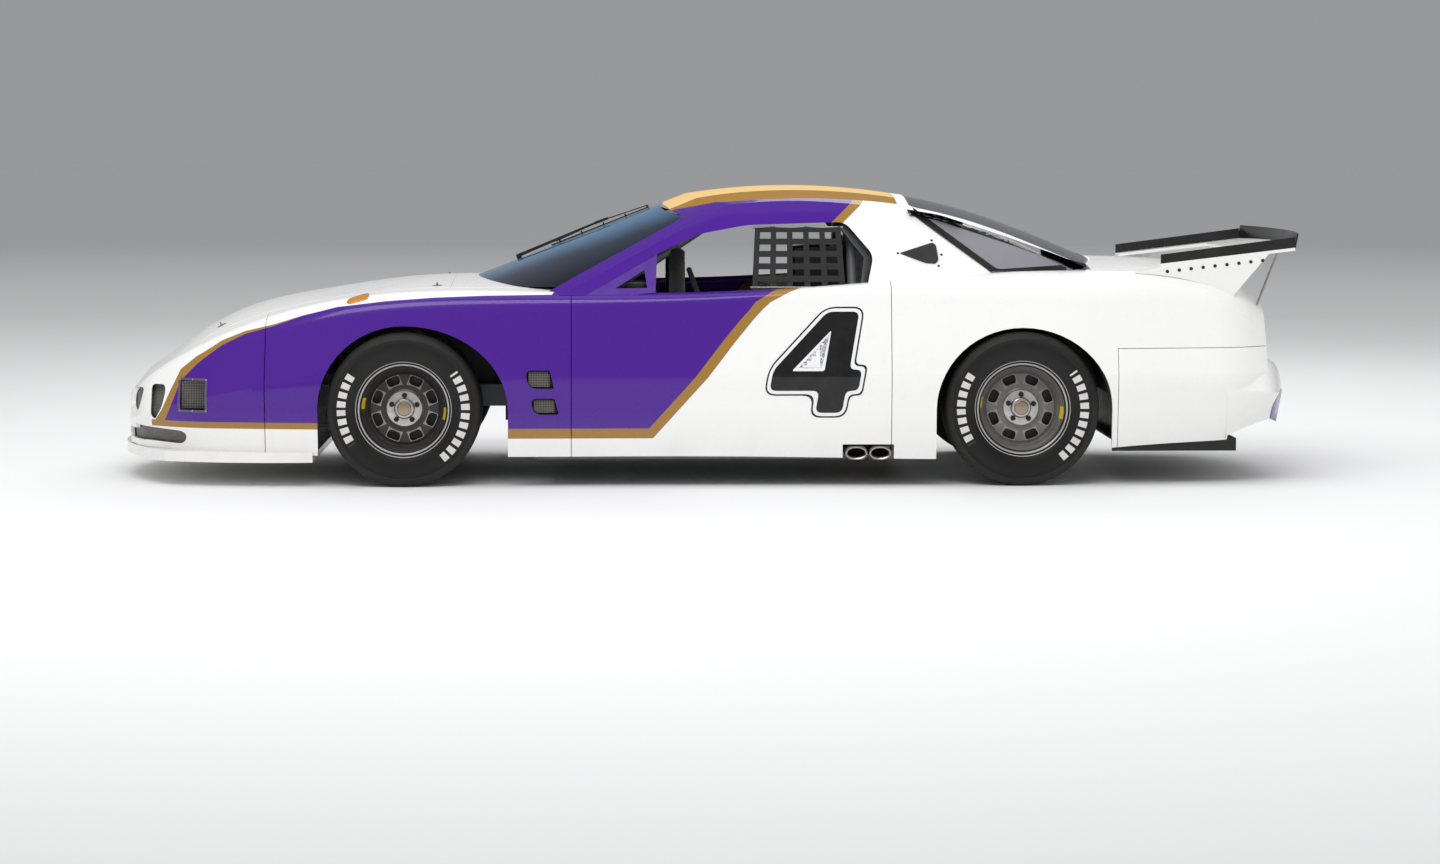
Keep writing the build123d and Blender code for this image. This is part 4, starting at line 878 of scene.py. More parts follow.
def capRows(thing, grid, cap):
    # Close one end of the skin with rings that draw in and bulge
    work = bmesh.new()
    work.from_mesh(thing.data)
    work.verts.ensure_lookup_table()
    width, row = len(grid[0]), 0 if cap["end"] == "front" else len(grid) - 1
    before = [work.verts[row * width + j] for j in range(width)]
    for share in cap["shares"]:
        bulge = cap["bulge"] * (1 - (1 - share) ** 2)
        nearer = []
        for x, y, z in grid[row]:
            drawn = z if z < cap["middleZ"] else cap["middleZ"] + (z - cap["middleZ"]) * (1 - share)
            nearer.append(work.verts.new((x + bulge, y * (1 - share), drawn)))
        for j in range(width - 1):
            work.faces.new((before[j], before[j + 1], nearer[j + 1], nearer[j]))
        before = nearer
    work.faces.new(before)
    work.to_mesh(thing.data)
    work.free()


cutters = []                 # helper blocks, taken out again before the stage is set


def hideCutter(thing):
    cutters.append(thing)
    return thing


def blockBetween(name, low, high):
    # A solid between two rings of points, for cutting
    n = len(low)
    faces = [tuple(range(n)), tuple(range(2 * n - 1, n - 1, -1))]
    faces += [(i, i + n, (i + 1) % n + n, (i + 1) % n) for i in range(n)]
    return hideCutter(recalc(meshFrom(name, low + high, faces)))


def prism(run, name, outline, start, end):
    # A closed outline in the plane of the other two axes, run along x, y or z
    at = "xyz".index(run)
    return blockBetween(name, *[[(*p[:at], level, *p[at:]) for p in outline] for level in (start, end)])


def boxCutter(name, low, high):
    (x0, y0, z0), (x1, y1, z1) = low, high
    return prism("z", name, [(x0, y0), (x1, y0), (x1, y1), (x0, y1)], z0, z1)


arches = {
    "front": {"ahead": 0.387, "above": 0.377, "behind": 0.470},
    "rear": {"ahead": 0.392, "above": 0.366, "behind": 0.405},
    "steps": 28,
}


def archOutline(axle, shape):
    points = [(axle - shape["ahead"], -0.2)]
    for i in range(arches["steps"] + 1):
        turn = math.pi * i / arches["steps"]
        reach = shape["ahead"] if turn < math.pi / 2 else shape["behind"]
        points.append((axle - reach * math.cos(turn), size["tyre"] + shape["above"] * math.sin(turn)))
    points.append((axle + shape["behind"], -0.2))
    return points


def bothSides(name, outline, y0=0.42, y1=1.2):
    return [prism("y", name + "Left", outline, -y1, -y0), prism("y", name + "Right", outline, y0, y1)]


def roundedBox(x, z, long, tall, corner, steps=5):
    points = []
    for cx, cz, start in ((1, 1, 0), (-1, 1, 90), (-1, -1, 180), (1, -1, 270)):
        for i in range(steps + 1):
            turn = math.radians(start + 90 * i / steps)
            points.append((x + cx * (long / 2 - corner) + corner * math.cos(turn),
                           z + cz * (tall / 2 - corner) + corner * math.sin(turn)))
    return points


# the same outline with its corners drawn as short curves; radius is one number or one for each corner
def roundCorners(points, radius, steps=4):
    done = []
    n = len(points)
    for i in range(n):
        here = Vector(points[i])
        back, ahead = Vector(points[i - 1]) - here, Vector(points[(i + 1) % n]) - here
        wanted = radius[i] if isinstance(radius, list) else radius
        r = min(wanted, back.length * 0.48, ahead.length * 0.48)
        a, b = here + back.normalized() * r, here + ahead.normalized() * r
        for k in range(steps + 1):
            t = k / steps
            done.append(tuple(a.lerp(here, t).lerp(here.lerp(b, t), t)))
    return done


# vents and duct as (x, z, long, tall); the nose's holes as outlines seen from the side and from the front
openings = {
    "vents": [(-0.784, 0.487, 0.116, 0.084), (-0.762, 0.365, 0.114, 0.074)],
    "ventFront": 0.040,
    "ventRear": 0.010,
    "ventLean": 0.010,
    "duct": (-2.352, 0.410, 0.118, 0.132),
    "ductCorner": 0.008,
    "nostrilSide": [(-2.559, 0.450), (-2.559, 0.308), (-2.540, 0.290), (-2.503, 0.350), (-2.487, 0.420),
                    (-2.491, 0.452)],
    "nostrilFront": [(0.350, 0.425), (0.560, 0.428), (0.560, 0.345), (0.520, 0.300), (0.380, 0.335)],
    "intakeSide": [(-2.665, 0.262), (-2.655, 0.195), (-2.410, 0.186), (-2.386, 0.205), (-2.386, 0.232),
                   (-2.410, 0.246)],
    "intakeFront": [(0.330, 0.190), (0.330, 0.240), (0.600, 0.240), (0.600, 0.190)],
    "noseCorner": 0.022,
    "frontRun": (-2.9, -2.420),
    "exhaust": ((0.584, -1.1, -0.1), (0.816, -0.43, 0.191)),
}


# a side vent: rounded at its front, straight and leaning at its rear
def ventOutline(x, z, long, tall, less=0.0):
    lean = openings["ventLean"]
    left, right = x - long / 2 + less, x + long / 2 - less
    low, high = z - tall / 2 + less, z + tall / 2 - less
    points = [(left + lean, low), (right + lean, low), (right - lean, high), (left - lean * 0.5, high)]
    front, rear = openings["ventFront"] - less, openings["ventRear"]
    return roundCorners(points, [front, rear, rear, front * 0.8], 6)


# the cabin's sides as plan outlines at two heights; it stays within halfY
cabinShape = {
    "lowZ": 0.800,
    "highZ": 1.400,
    "low": [(-1.4118, 0.0), (-0.8111, 0.9082), (0.7284, 0.9082), (1.9299, 0.7927)],
    "high": [(0.1277, 0.0), (0.3317, 0.4880), (0.7284, 0.4880), (1.9299, 0.4584)],
    "halfY": 0.862,
    "edge": 0.040,
    "wall": 0.020,
    "steps": 40,
}


def arcThrough(a, b, c, steps):
    # Points on the circle through three plan points
    (ax, ay), (bx, by), (cx, cy) = a, b, c
    d = 2 * (ax * (by - cy) + bx * (cy - ay) + cx * (ay - by))
    aa, bb, cc = ax * ax + ay * ay, bx * bx + by * by, cx * cx + cy * cy
    ux = (aa * (by - cy) + bb * (cy - ay) + cc * (ay - by)) / d
    uy = (aa * (cx - bx) + bb * (ax - cx) + cc * (bx - ax)) / d
    r = math.hypot(ax - ux, ay - uy)
    start, end = math.atan2(ay - uy, ax - ux), math.atan2(cy - uy, cx - ux)
    middle = math.atan2(by - uy, bx - ux)
    if not min(start, end) < middle < max(start, end):
        end += 2 * math.pi if end < start else -2 * math.pi
    turns = [start + (end - start) * i / steps for i in range(steps + 1)]
    return [(ux + r * math.cos(turn), uy + r * math.sin(turn)) for turn in turns]


def cabinOutline(level, inset):
    (fx, _), (px, py), (bx, by), (ex, ey) = cabinShape[level]
    fx, px, py, by, ey = fx + inset, px + inset, py - inset, by - inset, ey - inset
    points = arcThrough((px, -py), (fx, 0.0), (px, py), cabinShape["steps"])
    return points + [(bx, by), (ex, ey), (ex, -ey), (bx, -by)]


def cabinSides(name, inset):
    return blockBetween(name, [(x, y, cabinShape["lowZ"]) for x, y in cabinOutline("low", inset)],
                        [(x, y, cabinShape["highZ"]) for x, y in cabinOutline("high", inset)])


# the roof: heights on the centre line, and its radius across the car
roofShape = {
    "line": [(-1.5012, 0.7139), (-0.6993, 1.1436), (-0.1545, 1.2999), (0.3540, 1.3470), (0.8793, 1.3066),
             (1.1922, 1.2392), (1.5080, 1.1288), (1.8209, 0.9995), (1.9718, 0.9294)],
    "radius": 2.530,
    "ends": (-1.45, 1.95),
    "half": 0.95,
    "foot": 0.30,
    "rows": 90,
    "columns": 40,
}
roofLine = np.array(roofShape["line"])
roofRead = naturalSpline(roofLine[:, 0], roofLine[:, 1:])


def roofBlock(name, inset):
    rows, columns = roofShape["rows"], roofShape["columns"]
    vertices = []
    for x in np.linspace(*roofShape["ends"], rows + 1):
        z = float(roofRead(x)[0]) - inset
        for j in range(columns + 1):
            y = roofShape["half"] * (2 * j / columns - 1)
            vertices.append((x, y, z - y * y / (2 * roofShape["radius"])))
    width, base = columns + 1, len(vertices)
    faces = quads(rows + 1, width, closed=False)
    rim = list(range(width)) + [i * width + columns for i in range(1, rows + 1)]
    rim += ([rows * width + j for j in range(columns - 1, -1, -1)]
            + [i * width for i in range(rows - 1, 0, -1)])
    vertices += [(vertices[k][0], vertices[k][1], roofShape["foot"]) for k in rim]
    n = len(rim)
    faces += [(rim[i], rim[(i + 1) % n], base + (i + 1) % n, base + i) for i in range(n)]
    faces.append(tuple(base + i for i in range(n)))
    return hideCutter(recalc(meshFrom(name, vertices, faces)))


def cabinBlock(name, inset, edge):
    block = cabinSides(name, inset)
    cut(block, roofBlock(name + "Top", inset), "INTERSECT")
    half = cabinShape["halfY"] - inset
    cut(block, boxCutter(name + "Room", (-3, -half, 0.5), (3, half, 2)), "INTERSECT")
    recalc(block, 0.0004)
    return softEdges(block, edge, 6, 20, harden_normals=False) if edge else block


cabinRoom = cabinSides("cabinRoom", 0.022)
cut(cabinRoom, boxCutter("cabinRoomEnd", (-3, -1.2, 0.2), (1.735, 1.2, 2.2)), "INTERSECT")

# body panels, with half a gap at each seam
allOver, sideOnly, topOnly = ("side", "gap", "top"), ("side",), ("top",)

noseCap = {"end": "front", "shares": (0.04, 0.15, 0.4, 0.7, 0.985), "bulge": -0.028, "middleZ": 0.26}
nose = panel("noseSkin", bodyX[0], seams["nose"] - gap, allOver, 0.022,
             (seams["hoodFront"] - gap, seams["nose"]), noseCap)
noseCutters = []
corner = openings["noseCorner"]
for sign, side in sides:
    for key in ("nostril", "intake"):
        outline = [(sign * y, z) for y, z in roundCorners(openings[key + "Front"], corner)]
        noseCutters.append(prism("x", key + "Front_" + side, outline, *openings["frontRun"]))
for key in ("nostril", "intake"):
    noseCutters += bothSides(key + "Side", roundCorners(openings[key + "Side"], corner), 0.50)
noseCutters += bothSides("ductCut", roundedBox(*openings["duct"], openings["ductCorner"]), 0.62)
cut(nose, noseCutters)

hood = panel("hoodSkin", seams["hoodFront"] + gap, seams["hoodRear"] - hinge, topOnly)
fenders = panel("fenderSkin", seams["nose"] + 0.0004, seams["doorFront"] - gap / 2, sideOnly, 0.025)
cut(fenders, bothSides("frontArch", archOutline(size["frontAxle"], arches["front"])))
for k, vent in enumerate(openings["vents"]):
    cut(fenders, bothSides("vent" + str(k), ventOutline(*vent), 0.80))
cowl = panel("cowlSkin", seams["hoodRear"] + hinge, seams["cowlRear"], topOnly, 0.02)
cut(cowl, cabinRoom)
doors = panel("doorSkin", seams["doorFront"] + gap / 2, seams["doorRear"] - gap / 2, sideOnly)
cut(doors, [cabinRoom, boxCutter("exhaustCutDoor", *openings["exhaust"])])
quarterCap = {"end": "rear", "shares": (0.03, 0.10, 0.3, 0.6, 0.985), "bulge": 0.018, "middleZ": 0.66}
quarters = panel("quarterSkin", seams["doorRear"] + gap / 2, bodyX[-1], allOver, 0.025,
                 (seams["lidFront"] - hinge, seams["lidRear"] + gap), quarterCap)
bumperRoom = boxCutter("bumperRoom", (seams["bumper"] - gap / 2, -1.2, -0.2),
                       (3, 1.2, seams["bumperTop"] + gap / 2))
cut(quarters, [cabinRoom, bumperRoom, boxCutter("exhaustCutQuarter", *openings["exhaust"])])
cut(quarters, bothSides("rearArch", archOutline(size["rearAxle"], arches["rear"])))
lid = panel("deckLidSkin", seams["lidFront"] + hinge, seams["lidRear"] - gap, topOnly)
print("panels cut")


def closedLoft(name, xs, profile, inset=0.0):
    # A solid block through full sections, closed at both ends; an inset one keeps its low points level
    vertices = []
    for x in xs:
        half = [(y - inset, z - inset * (z > tailShape["hollowFoot"])) for y, z in profile(x)[::3]]
        ring = [(x, -y, z) for y, z in half] + [(x, y, z) for y, z in half[:-1][::-1]]
        vertices += ring
    width = len(ring)
    faces = quads(len(xs), width)
    faces.append(tuple(range(width)))
    faces.append(tuple(range(len(vertices) - 1, len(vertices) - width - 1, -1)))
    return recalc(meshFrom(name, vertices, faces))


# the tail cover: the end of the body below the seam, joined to the bumper's bulge and hollowed out
tailShape = {
    "wall": 0.020,
    "rows": 26,
    "bulgeRows": 30,
    "edge": 0.012,
    "hollowFoot": 0.30,
    "hollowDrop": 0.08,
}
tail = closedLoft("tailSkin", np.linspace(seams["bumper"] + gap / 2, bodyX[-1], tailShape["rows"]),
                  bodyProfile)
cut(tail, boxCutter("tailTop", (1.6, -1.2, seams["bumperTop"] - gap / 2), (3, 1.2, 2)))
bumperXs = np.linspace(bumperX[0], bumperX[-1], tailShape["bulgeRows"])
cut(tail, hideCutter(closedLoft("bumperBlock", bumperXs, bumperProfile)), "UNION")
tailHollows = []
for name, front, rear, profile in (("tailHollow", 1.7, bodyX[-1], bodyProfile),
                                   ("bumperHollow", bumperX[0], bumperX[-1], bumperProfile)):
    hollowXs = np.linspace(front, rear - tailShape["wall"], tailShape["rows"])
    hollow = hideCutter(closedLoft(name, hollowXs, profile, tailShape["wall"]))
    for vertex in hollow.data.vertices:
        if vertex.co.z < tailShape["hollowFoot"]:
            vertex.co.z -= tailShape["hollowDrop"]
    tailHollows.append(hollow)
softEdges(tail, tailShape["edge"], 4, 28)
cut(tail, tailHollows)

# the cabin's holes: door and quarter windows seen from the side, the windshield from the front and the rear
# window from above; split parts the roof from the rear pillars
windows = {
    "door": [(-0.583, 0.840), (-0.583, 0.861), (-0.250, 1.046), (-0.059, 1.134), (0.161, 1.174),
             (0.609, 1.188), (0.735, 1.038), (0.702, 0.909), (0.700, 0.70), (-0.583, 0.70)],
    "doorCorner": 0.035,
    "quarter": [(0.880, 1.250), (1.290, 0.945), (1.735, 0.972), (1.591, 1.035), (1.364, 1.115),
                (1.042, 1.222)],
    "quarterCorner": 0.03,
    "screen": [(-0.838, 0.845), (0.838, 0.845), (0.548, 1.212), (0.28, 1.252), (0.0, 1.268),
               (-0.28, 1.252), (-0.548, 1.212)],
    "rear": [(0.915, -0.480), (1.770, -0.560), (1.770, 0.560), (0.915, 0.480)],
    "corner": 0.05,
    "split": [(0.600, 0.70), (0.600, 1.160), (0.640, 1.200), (0.880, 1.280), (0.880, 1.5), (2.2, 1.5),
              (2.2, 0.7)],
}
quarterOutline = roundCorners(windows["quarter"], windows["quarterCorner"])
cabinOuter = cabinBlock("cabinShell", 0.0, cabinShape["edge"])
cutters.remove(cabinOuter)
cut(cabinOuter, cabinBlock("cabinHollow", cabinShape["wall"], 0.0))
cut(cabinOuter, hideCutter(closedLoft("bodyBlock", np.linspace(-1.9, 2.3, 120), bodyProfile)))
screenHole = prism("x", "screenHole", roundCorners(windows["screen"], windows["corner"]), -2.0, 0.060)
rearHole = prism("z", "rearHole", roundCorners(windows["rear"], windows["corner"]), 0.7, 1.6)
sideHole = prism("y", "sideWindow", roundCorners(windows["door"], windows["doorCorner"]), -1.2, 1.2)
cut(cabinOuter, [sideHole, screenHole])
cabinRear = newObject("rearPillarSkin", cabinOuter.data.copy())
rearRegion = prism("y", "rearRegion", windows["split"], -1.2, 1.2)
cut(cabinRear, rearRegion, "INTERSECT")
cut(cabinRear, bothSides("quarterHole", quarterOutline, 0.56) + [rearHole])
cabinOuter.name = "roofSkin"
cut(cabinOuter, rearRegion)
print("cabin cut")

skins = [
    (nose, "chassis", ["nose_cover"], "body"), (hood, "hood", ["hood"], "body"),
    (fenders, "chassis", ["fenders"], "body"), (cowl, "chassis", ["cowl_panel"], "body"),
    (doors, "chassis", ["doors"], "body"), (quarters, "chassis", ["quarter_panels"], "body"),
    (lid, "deck_lid", ["deck_lid"], "body"), (tail, "chassis", ["tail_cover"], "body"),
    (cabinOuter, "chassis", ["roof"], "roof"), (cabinRear, "chassis", ["rear_pillars"], "roof"),
]


def place(thing, body, material, nodes=(), angle=32.0, slotName=None):
    # Give a finished piece its material, its body and the nodes it stands for
    thing.data.materials.clear()
    thing.data.materials.append(finish[material] if isinstance(material, str) else material)
    smooth(thing, angle)
    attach(thing, body)
    if nodes:
        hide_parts(*nodes)
    return thing


for thing, body, nodes, material in skins:
    place(thing, body, material, nodes, 28.0)


def revolve(name, points, turns, centre, sign):
    # Spin (radius, outward) points about the axle; sign is the side of the car
    vertices, faces = [], []
    for u, v in circle(turns):
        vertices += [(centre[0] + r * u, centre[1] + sign * out, centre[2] + r * v) for r, out in points]
    n = len(points)
    for k in range(turns):
        for i in range(n - 1):
            a, b = k * n + i, ((k + 1) % turns) * n + i
            faces.append((a, a + 1, b + 1, b))
    return recalc(meshFrom(name, vertices, faces), 0.00005)


def slotCutter(name, centre, sign, index):
    # One rounded slot through the wheel disc
    a = 2 * math.pi * (index + 0.5) / wheel["slots"]
    outline = roundedBox(0, 0, wheel["slotTall"], wheel["slotLong"], wheel["slotCorner"])
    rings = []
    for out in wheel["slotRun"]:
        ring = []
        for u, v in outline:
            r, v = wheel["slotRadius"] + u, v * (1 + u * wheel["slotFlare"])
            ring.append((centre[0] + r * math.cos(a) - v * math.sin(a), centre[1] + sign * out,
                         centre[2] + r * math.sin(a) + v * math.cos(a)))
        rings.append(ring)
    return blockBetween(name, *rings)


def nutMesh(name, centre, sign):
    # Chamfered nuts on studs, as one mesh
    vertices, faces = [], []
    rings = wheel["nut"]
    for index in range(wheel["nuts"]):
        a = 2 * math.pi * index / wheel["nuts"] + wheel["nutTurn"]
        cx, cz = centre[0] + wheel["nutRadius"] * math.cos(a), centre[2] + wheel["nutRadius"] * math.sin(a)
        start = len(vertices)
        for radius, out in rings:
            vertices += [(cx + u, centre[1] + sign * out, cz + v) for u, v in circle(6, radius, a)]
        faces += quads(len(rings), 6, start=start)
        faces.append(tuple(start + (len(rings) - 1) * 6 + k for k in range(6)))
    return recalc(meshFrom(name, vertices, faces))


tyreLine = (wheel["tyre"] + [(r, -out) for r, out in wheel["tyre"][-2::-1]]
            + wheel["bead"] + wheel["tyre"][:1])
rimLine = wheel["rim"] + wheel["back"] + wheel["rim"][:1]
for end, axle in (("front", size["frontAxle"]), ("rear", size["rearAxle"])):
    for sign, side in sides:
        key = end + "_" + side
        body, rimNode = "wheel_" + key, "rim_" + key
        centre = (axle, sign * size["wheelY"], size["tyre"])
        tyre = revolve("tyre_" + key + "_skin", tyreLine, wheel["tyreTurns"], centre, sign)
        place(tyre, body, makeRubber("rubber_" + key, centre), ["tyre_" + key], 40.0)
        rim = revolve(rimNode + "_skin", rimLine, wheel["rimTurns"], centre, sign)
        cut(rim, [slotCutter("slot" + key + str(i), centre, sign, i) for i in range(wheel["slots"])])
        place(rim, body, makeRimCoat("rimCoat_" + key, centre), [rimNode], 30.0)
        place(nutMesh("nuts_" + key, centre, sign), body, "dark", slotName=rimNode)
        disc = revolve("brake_" + key, wheel["disc"], wheel["discTurns"], centre, sign)
        place(disc, body, "cast", slotName=rimNode)
print("wheels made")


# half width of the body at x and height z
def sideY(x, z):
    points = bodyProfile(x)[:crown + 1]
    return float(np.interp(z, points[:, 1], points[:, 0]))


# a closed outline, counter-clockwise, moved outwards
def grown(points, distance):
    done = []
    n = len(points)
    for i in range(n):
        here = Vector(points[i])
        a = (here - Vector(points[i - 1])).normalized()
        b = (Vector(points[(i + 1) % n]) - here).normalized()
        na, nb = Vector((a.y, -a.x)), Vector((b.y, -b.x))
        share = distance / max(0.35, 1 + na.dot(nb))
        done.append(tuple(here + (na + nb) * share))
    return done


def treeOf(thing):
    mesh = thing.data
    return BVHTree.FromPolygons([v.co for v in mesh.vertices], [p.vertices[:] for p in mesh.polygons])


# the outermost point of some meshes at (x, z), looking in from one side
def outerY(trees, x, z, sign):
    best = None
    for tree in trees:
        spot = tree.ray_cast(Vector((x, sign * 2.0, z)), Vector((0, -sign, 0)))[0]
        if spot and (best is None or sign * spot.y > sign * best):
            best = spot.y
    return best


# the same, looked for a little nearer the middle where the mesh's edge is missed
def surfaceY(trees, x, z, sign, middle):
    for step in range(16):
        share = step * 0.004
        found = outerY(trees, x + (middle[0] - x) * share, z + (middle[1] - z) * share, sign)
        if found is not None and sign * found > 0.2:
            return found
    return trees[0].find_nearest(Vector((x, sign * 0.8, z)))[0].y


# flat outlines in side view, laid on a mesh from one side
def laidSheet(name, loops, sign, trees, lift, thickness=0.0004, cell=0.02, levels=()):
    work = bmesh.new()
    edges = []
    for loop in loops:
        verts = [work.verts.new((x, 0, z)) for x, z in loop]
        edges += [work.edges.new((verts[i], verts[(i + 1) % len(verts)])) for i in range(len(verts))]
    bmesh.ops.triangle_fill(work, use_beauty=True, edges=edges)
    xs = [v.co.x for v in work.verts]
    zs = [v.co.z for v in work.verts]
    planes = [((1, 0, 0), min(xs) + k * cell) for k in range(1, int((max(xs) - min(xs)) / cell) + 1)]
    planes += [((0, 0, 1), min(zs) + k * cell / 2)
               for k in range(1, int((max(zs) - min(zs)) * 2 / cell) + 1)]
    planes += [((0, 0, 1), level) for level in levels]
    for normal, at in planes:
        everything = work.verts[:] + work.edges[:] + work.faces[:]
        bmesh.ops.bisect_plane(work, geom=everything, plane_co=Vector(normal) * at, plane_no=normal,
                               dist=0.00001)
    bmesh.ops.remove_doubles(work, verts=work.verts, dist=0.00005)
    middle = ((min(xs) + max(xs)) / 2, (min(zs) + max(zs)) / 2)
    for v in work.verts:
        v.co.y = surfaceY(trees, v.co.x, v.co.z, sign, middle) + sign * lift
    for face in work.faces:
        face.normal_update()
        if face.normal.y * sign < 0:
            face.normal_flip()
    mesh = bpy.data.meshes.new(name)
    work.to_mesh(mesh)
    work.free()
    thing = newObject(name, mesh)
    modify(thing, "SOLIDIFY", thickness=thickness, offset=1.0)
    return applyAll(thing)


numeral = {
    "outer": [(0.50, 1.0), (0.0, 0.42), (0.0, 0.22), (0.56, 0.22), (0.56, 0.0), (0.86, 0.0), (0.86, 0.22),
              (1.0, 0.22), (1.0, 0.43), (0.86, 0.43), (0.86, 1.0)],
    "hole": [(0.58, 0.82), (0.58, 0.415), (0.21, 0.415)],
    "slant": 0.20,
    "left": 0.235,
    "low": 0.335,
    "wide": 0.400,
    "tall": 0.455,
    "corner": 0.030,
    "holeCorner": 0.012,
    "crease": 0.4984,        # height of the body's side crease, where the sheets bend
    # each layer: how far it reaches past the face, its material, and how far it stands off the door
    "edge": (0.022, "numberBlack", 0.0008),
    "band": (0.015, "numberWhite", 0.0015),
    "face": (0.0, "numberBlack", 0.0022),
}


def numeralLoop(points, grow, mirror, radius):
    placed = [((u + numeral["slant"] * v) * numeral["wide"], v * numeral["tall"]) for u, v in points]
    area = sum(placed[i - 1][0] * placed[i][1] - placed[i][0] * placed[i - 1][1]
               for i in range(len(placed)))
    if area < 0:
        placed = placed[::-1]
    placed = roundCorners(grown(placed, grow), radius + grow, 5)
    whole = (1 + numeral["slant"]) * numeral["wide"]
    if mirror:
        placed = [(whole - x, z) for x, z in placed]
    return [(numeral["left"] + x, numeral["low"] + z) for x, z in placed]


doorTree = [treeOf(doors), treeOf(quarters)]
for sign, side in sides:
    for layer in ("edge", "band", "face"):
        grow, material, lift = numeral[layer]
        loops = [numeralLoop(numeral["outer"], grow, sign > 0, numeral["corner"]),
                 numeralLoop(numeral["hole"], -grow, sign > 0, numeral["holeCorner"])]
        sheet = laidSheet("number_" + layer + "_" + side, loops, sign, doorTree, lift,
                          levels=(numeral["crease"],))
        place(sheet, "chassis", material, slotName="doors_paint")
print("numbers laid")


def buildRepeater():
    # One node group for every run of like pieces: a line of points, in rows
    group = bpy.data.node_groups.new("repeatInRows", "GeometryNodeTree")
    group.interface.new_socket("Geometry", in_out="INPUT", socket_type="NodeSocketGeometry")
    for name, kind in (("Count", "Int"), ("Step", "Vector"), ("Rows", "Int"), ("Row Step", "Vector"),
                       ("Finish", "Material")):
        group.interface.new_socket(name, in_out="INPUT", socket_type="NodeSocket" + kind)
    group.interface.new_socket("Geometry", in_out="OUTPUT", socket_type="NodeSocketGeometry")
    make = group.nodes.new
    given, result = make("NodeGroupInput"), make("NodeGroupOutput")
    line, rows = make("GeometryNodeMeshLine"), make("GeometryNodeMeshLine")
    spread, scatter = make("GeometryNodeInstanceOnPoints"), make("GeometryNodeInstanceOnPoints")
    flat, real = make("GeometryNodeRealizeInstances"), make("GeometryNodeRealizeInstances")
    finished = make("GeometryNodeSetMaterial")
    for start, end in (
        (given.outputs["Count"], line.inputs["Count"]),
        (given.outputs["Step"], line.inputs["Offset"]),
        (given.outputs["Rows"], rows.inputs["Count"]),
        (given.outputs["Row Step"], rows.inputs["Offset"]),
        (rows.outputs[0], spread.inputs["Points"]),
        (line.outputs[0], spread.inputs["Instance"]),
        (spread.outputs[0], flat.inputs[0]),
        (flat.outputs[0], scatter.inputs["Points"]),
        (given.outputs["Geometry"], scatter.inputs["Instance"]),
        (scatter.outputs[0], real.inputs[0]),
        (real.outputs[0], finished.inputs["Geometry"]),
        (given.outputs["Finish"], finished.inputs["Material"]),
        (finished.outputs[0], result.inputs[0]),
    ):
        group.links.new(start, end)
    return group


repeater = buildRepeater()


def repeated(name, body, material, pieceMesh, count, step, rows=1, rowStep=(0, 0, 0), slotName=None):
    # Rows of one small piece, made by the repeater
    thing = meshFrom(name, *pieceMesh)
    recalc(thing, 0.00001)
    modifier = thing.modifiers.new("rows", "NODES")
    modifier.node_group = repeater
    given = {"Count": count, "Step": step, "Rows": rows, "Row Step": rowStep, "Finish": finish[material]}
    for item in repeater.interface.items_tree:
        if item.in_out == "INPUT" and item.name in given:
            modifier[item.identifier] = given[item.name]
    applyAll(thing)
    return place(thing, body, material, angle=40.0, slotName=slotName)


# a low domed head on its washer, as shares of a bolt's radius and height
boltRings = [(1.35, 0.0), (1.35, 0.25), (1.0, 0.25), (0.95, 0.65), (0.6, 0.95)]


def boltMesh(at, axis, radius=0.006, height=0.004, turns=10):
    # One bolt head facing along the axis
    turn = Vector((0, 0, 1)).rotation_difference(Vector(axis)).to_matrix()
    vertices = []
    for r, h in boltRings:
        ring = circle(turns, radius * r)
        vertices += [tuple(turn @ Vector((u, v, height * h)) + Vector(at)) for u, v in ring]
    last = (len(boltRings) - 1) * turns
    faces = [tuple(range(turns))[::-1]] + quads(len(boltRings), turns)
    return vertices, faces + [tuple(last + k for k in range(turns))]


def bolt(name, material, slotName, *shape, body="chassis"):
    return place(recalc(meshFrom(name, *boltMesh(*shape)), 0.00001), body, material, slotName=slotName)


boxFaces = [(0, 1, 3, 2), (4, 6, 7, 5), (0, 4, 5, 1), (2, 3, 7, 6), (0, 2, 6, 4), (1, 5, 7, 3)]


def barMesh(low, high):
    # A square bar between two corners
    (x0, y0, z0), (x1, y1, z1) = low, high
    return [(x, y, z) for x in (x0, x1) for y in (y0, y1) for z in (z0, z1)], boxFaces


def bucket(name, outline, y0, y1, material, slotName=None):
    # A dish with the outline as its mouth at y0 and its bottom at y1, in side view
    n = len(outline)
    cx, cz = sum(p[0] for p in outline) / n, sum(p[1] for p in outline) / n
    vertices = [(x, y0, z) for x, z in outline]
    vertices += [(cx + (x - cx) * 0.9, y1, cz + (z - cz) * 0.9) for x, z in outline]
    thing = recalc(meshFrom(name, vertices, quads(2, n) + [tuple(range(n, 2 * n))]))
    modify(thing, "SOLIDIFY", thickness=0.002, offset=0.0)
    return place(applyAll(thing), "chassis", material, slotName=slotName)


# wires in the side vents and square ducts: how deep they lie, and their margins in the opening
wires = {
    "thick": 0.0020,
    "pitch": 0.0075,
    "behind": 0.0015,        # the posts lie this far behind the level wires
    "vent": {"deep": 0.024, "levelEnd": 0.010, "levelLow": 0.010, "postFirst": 0.012, "postEnd": 0.008},
    "duct": {"deep": 0.020, "levelEnd": 0.004, "levelLow": 0.006, "postFirst": 0.006, "postEnd": 0.004},
    "ductCounts": (17, 14),
}


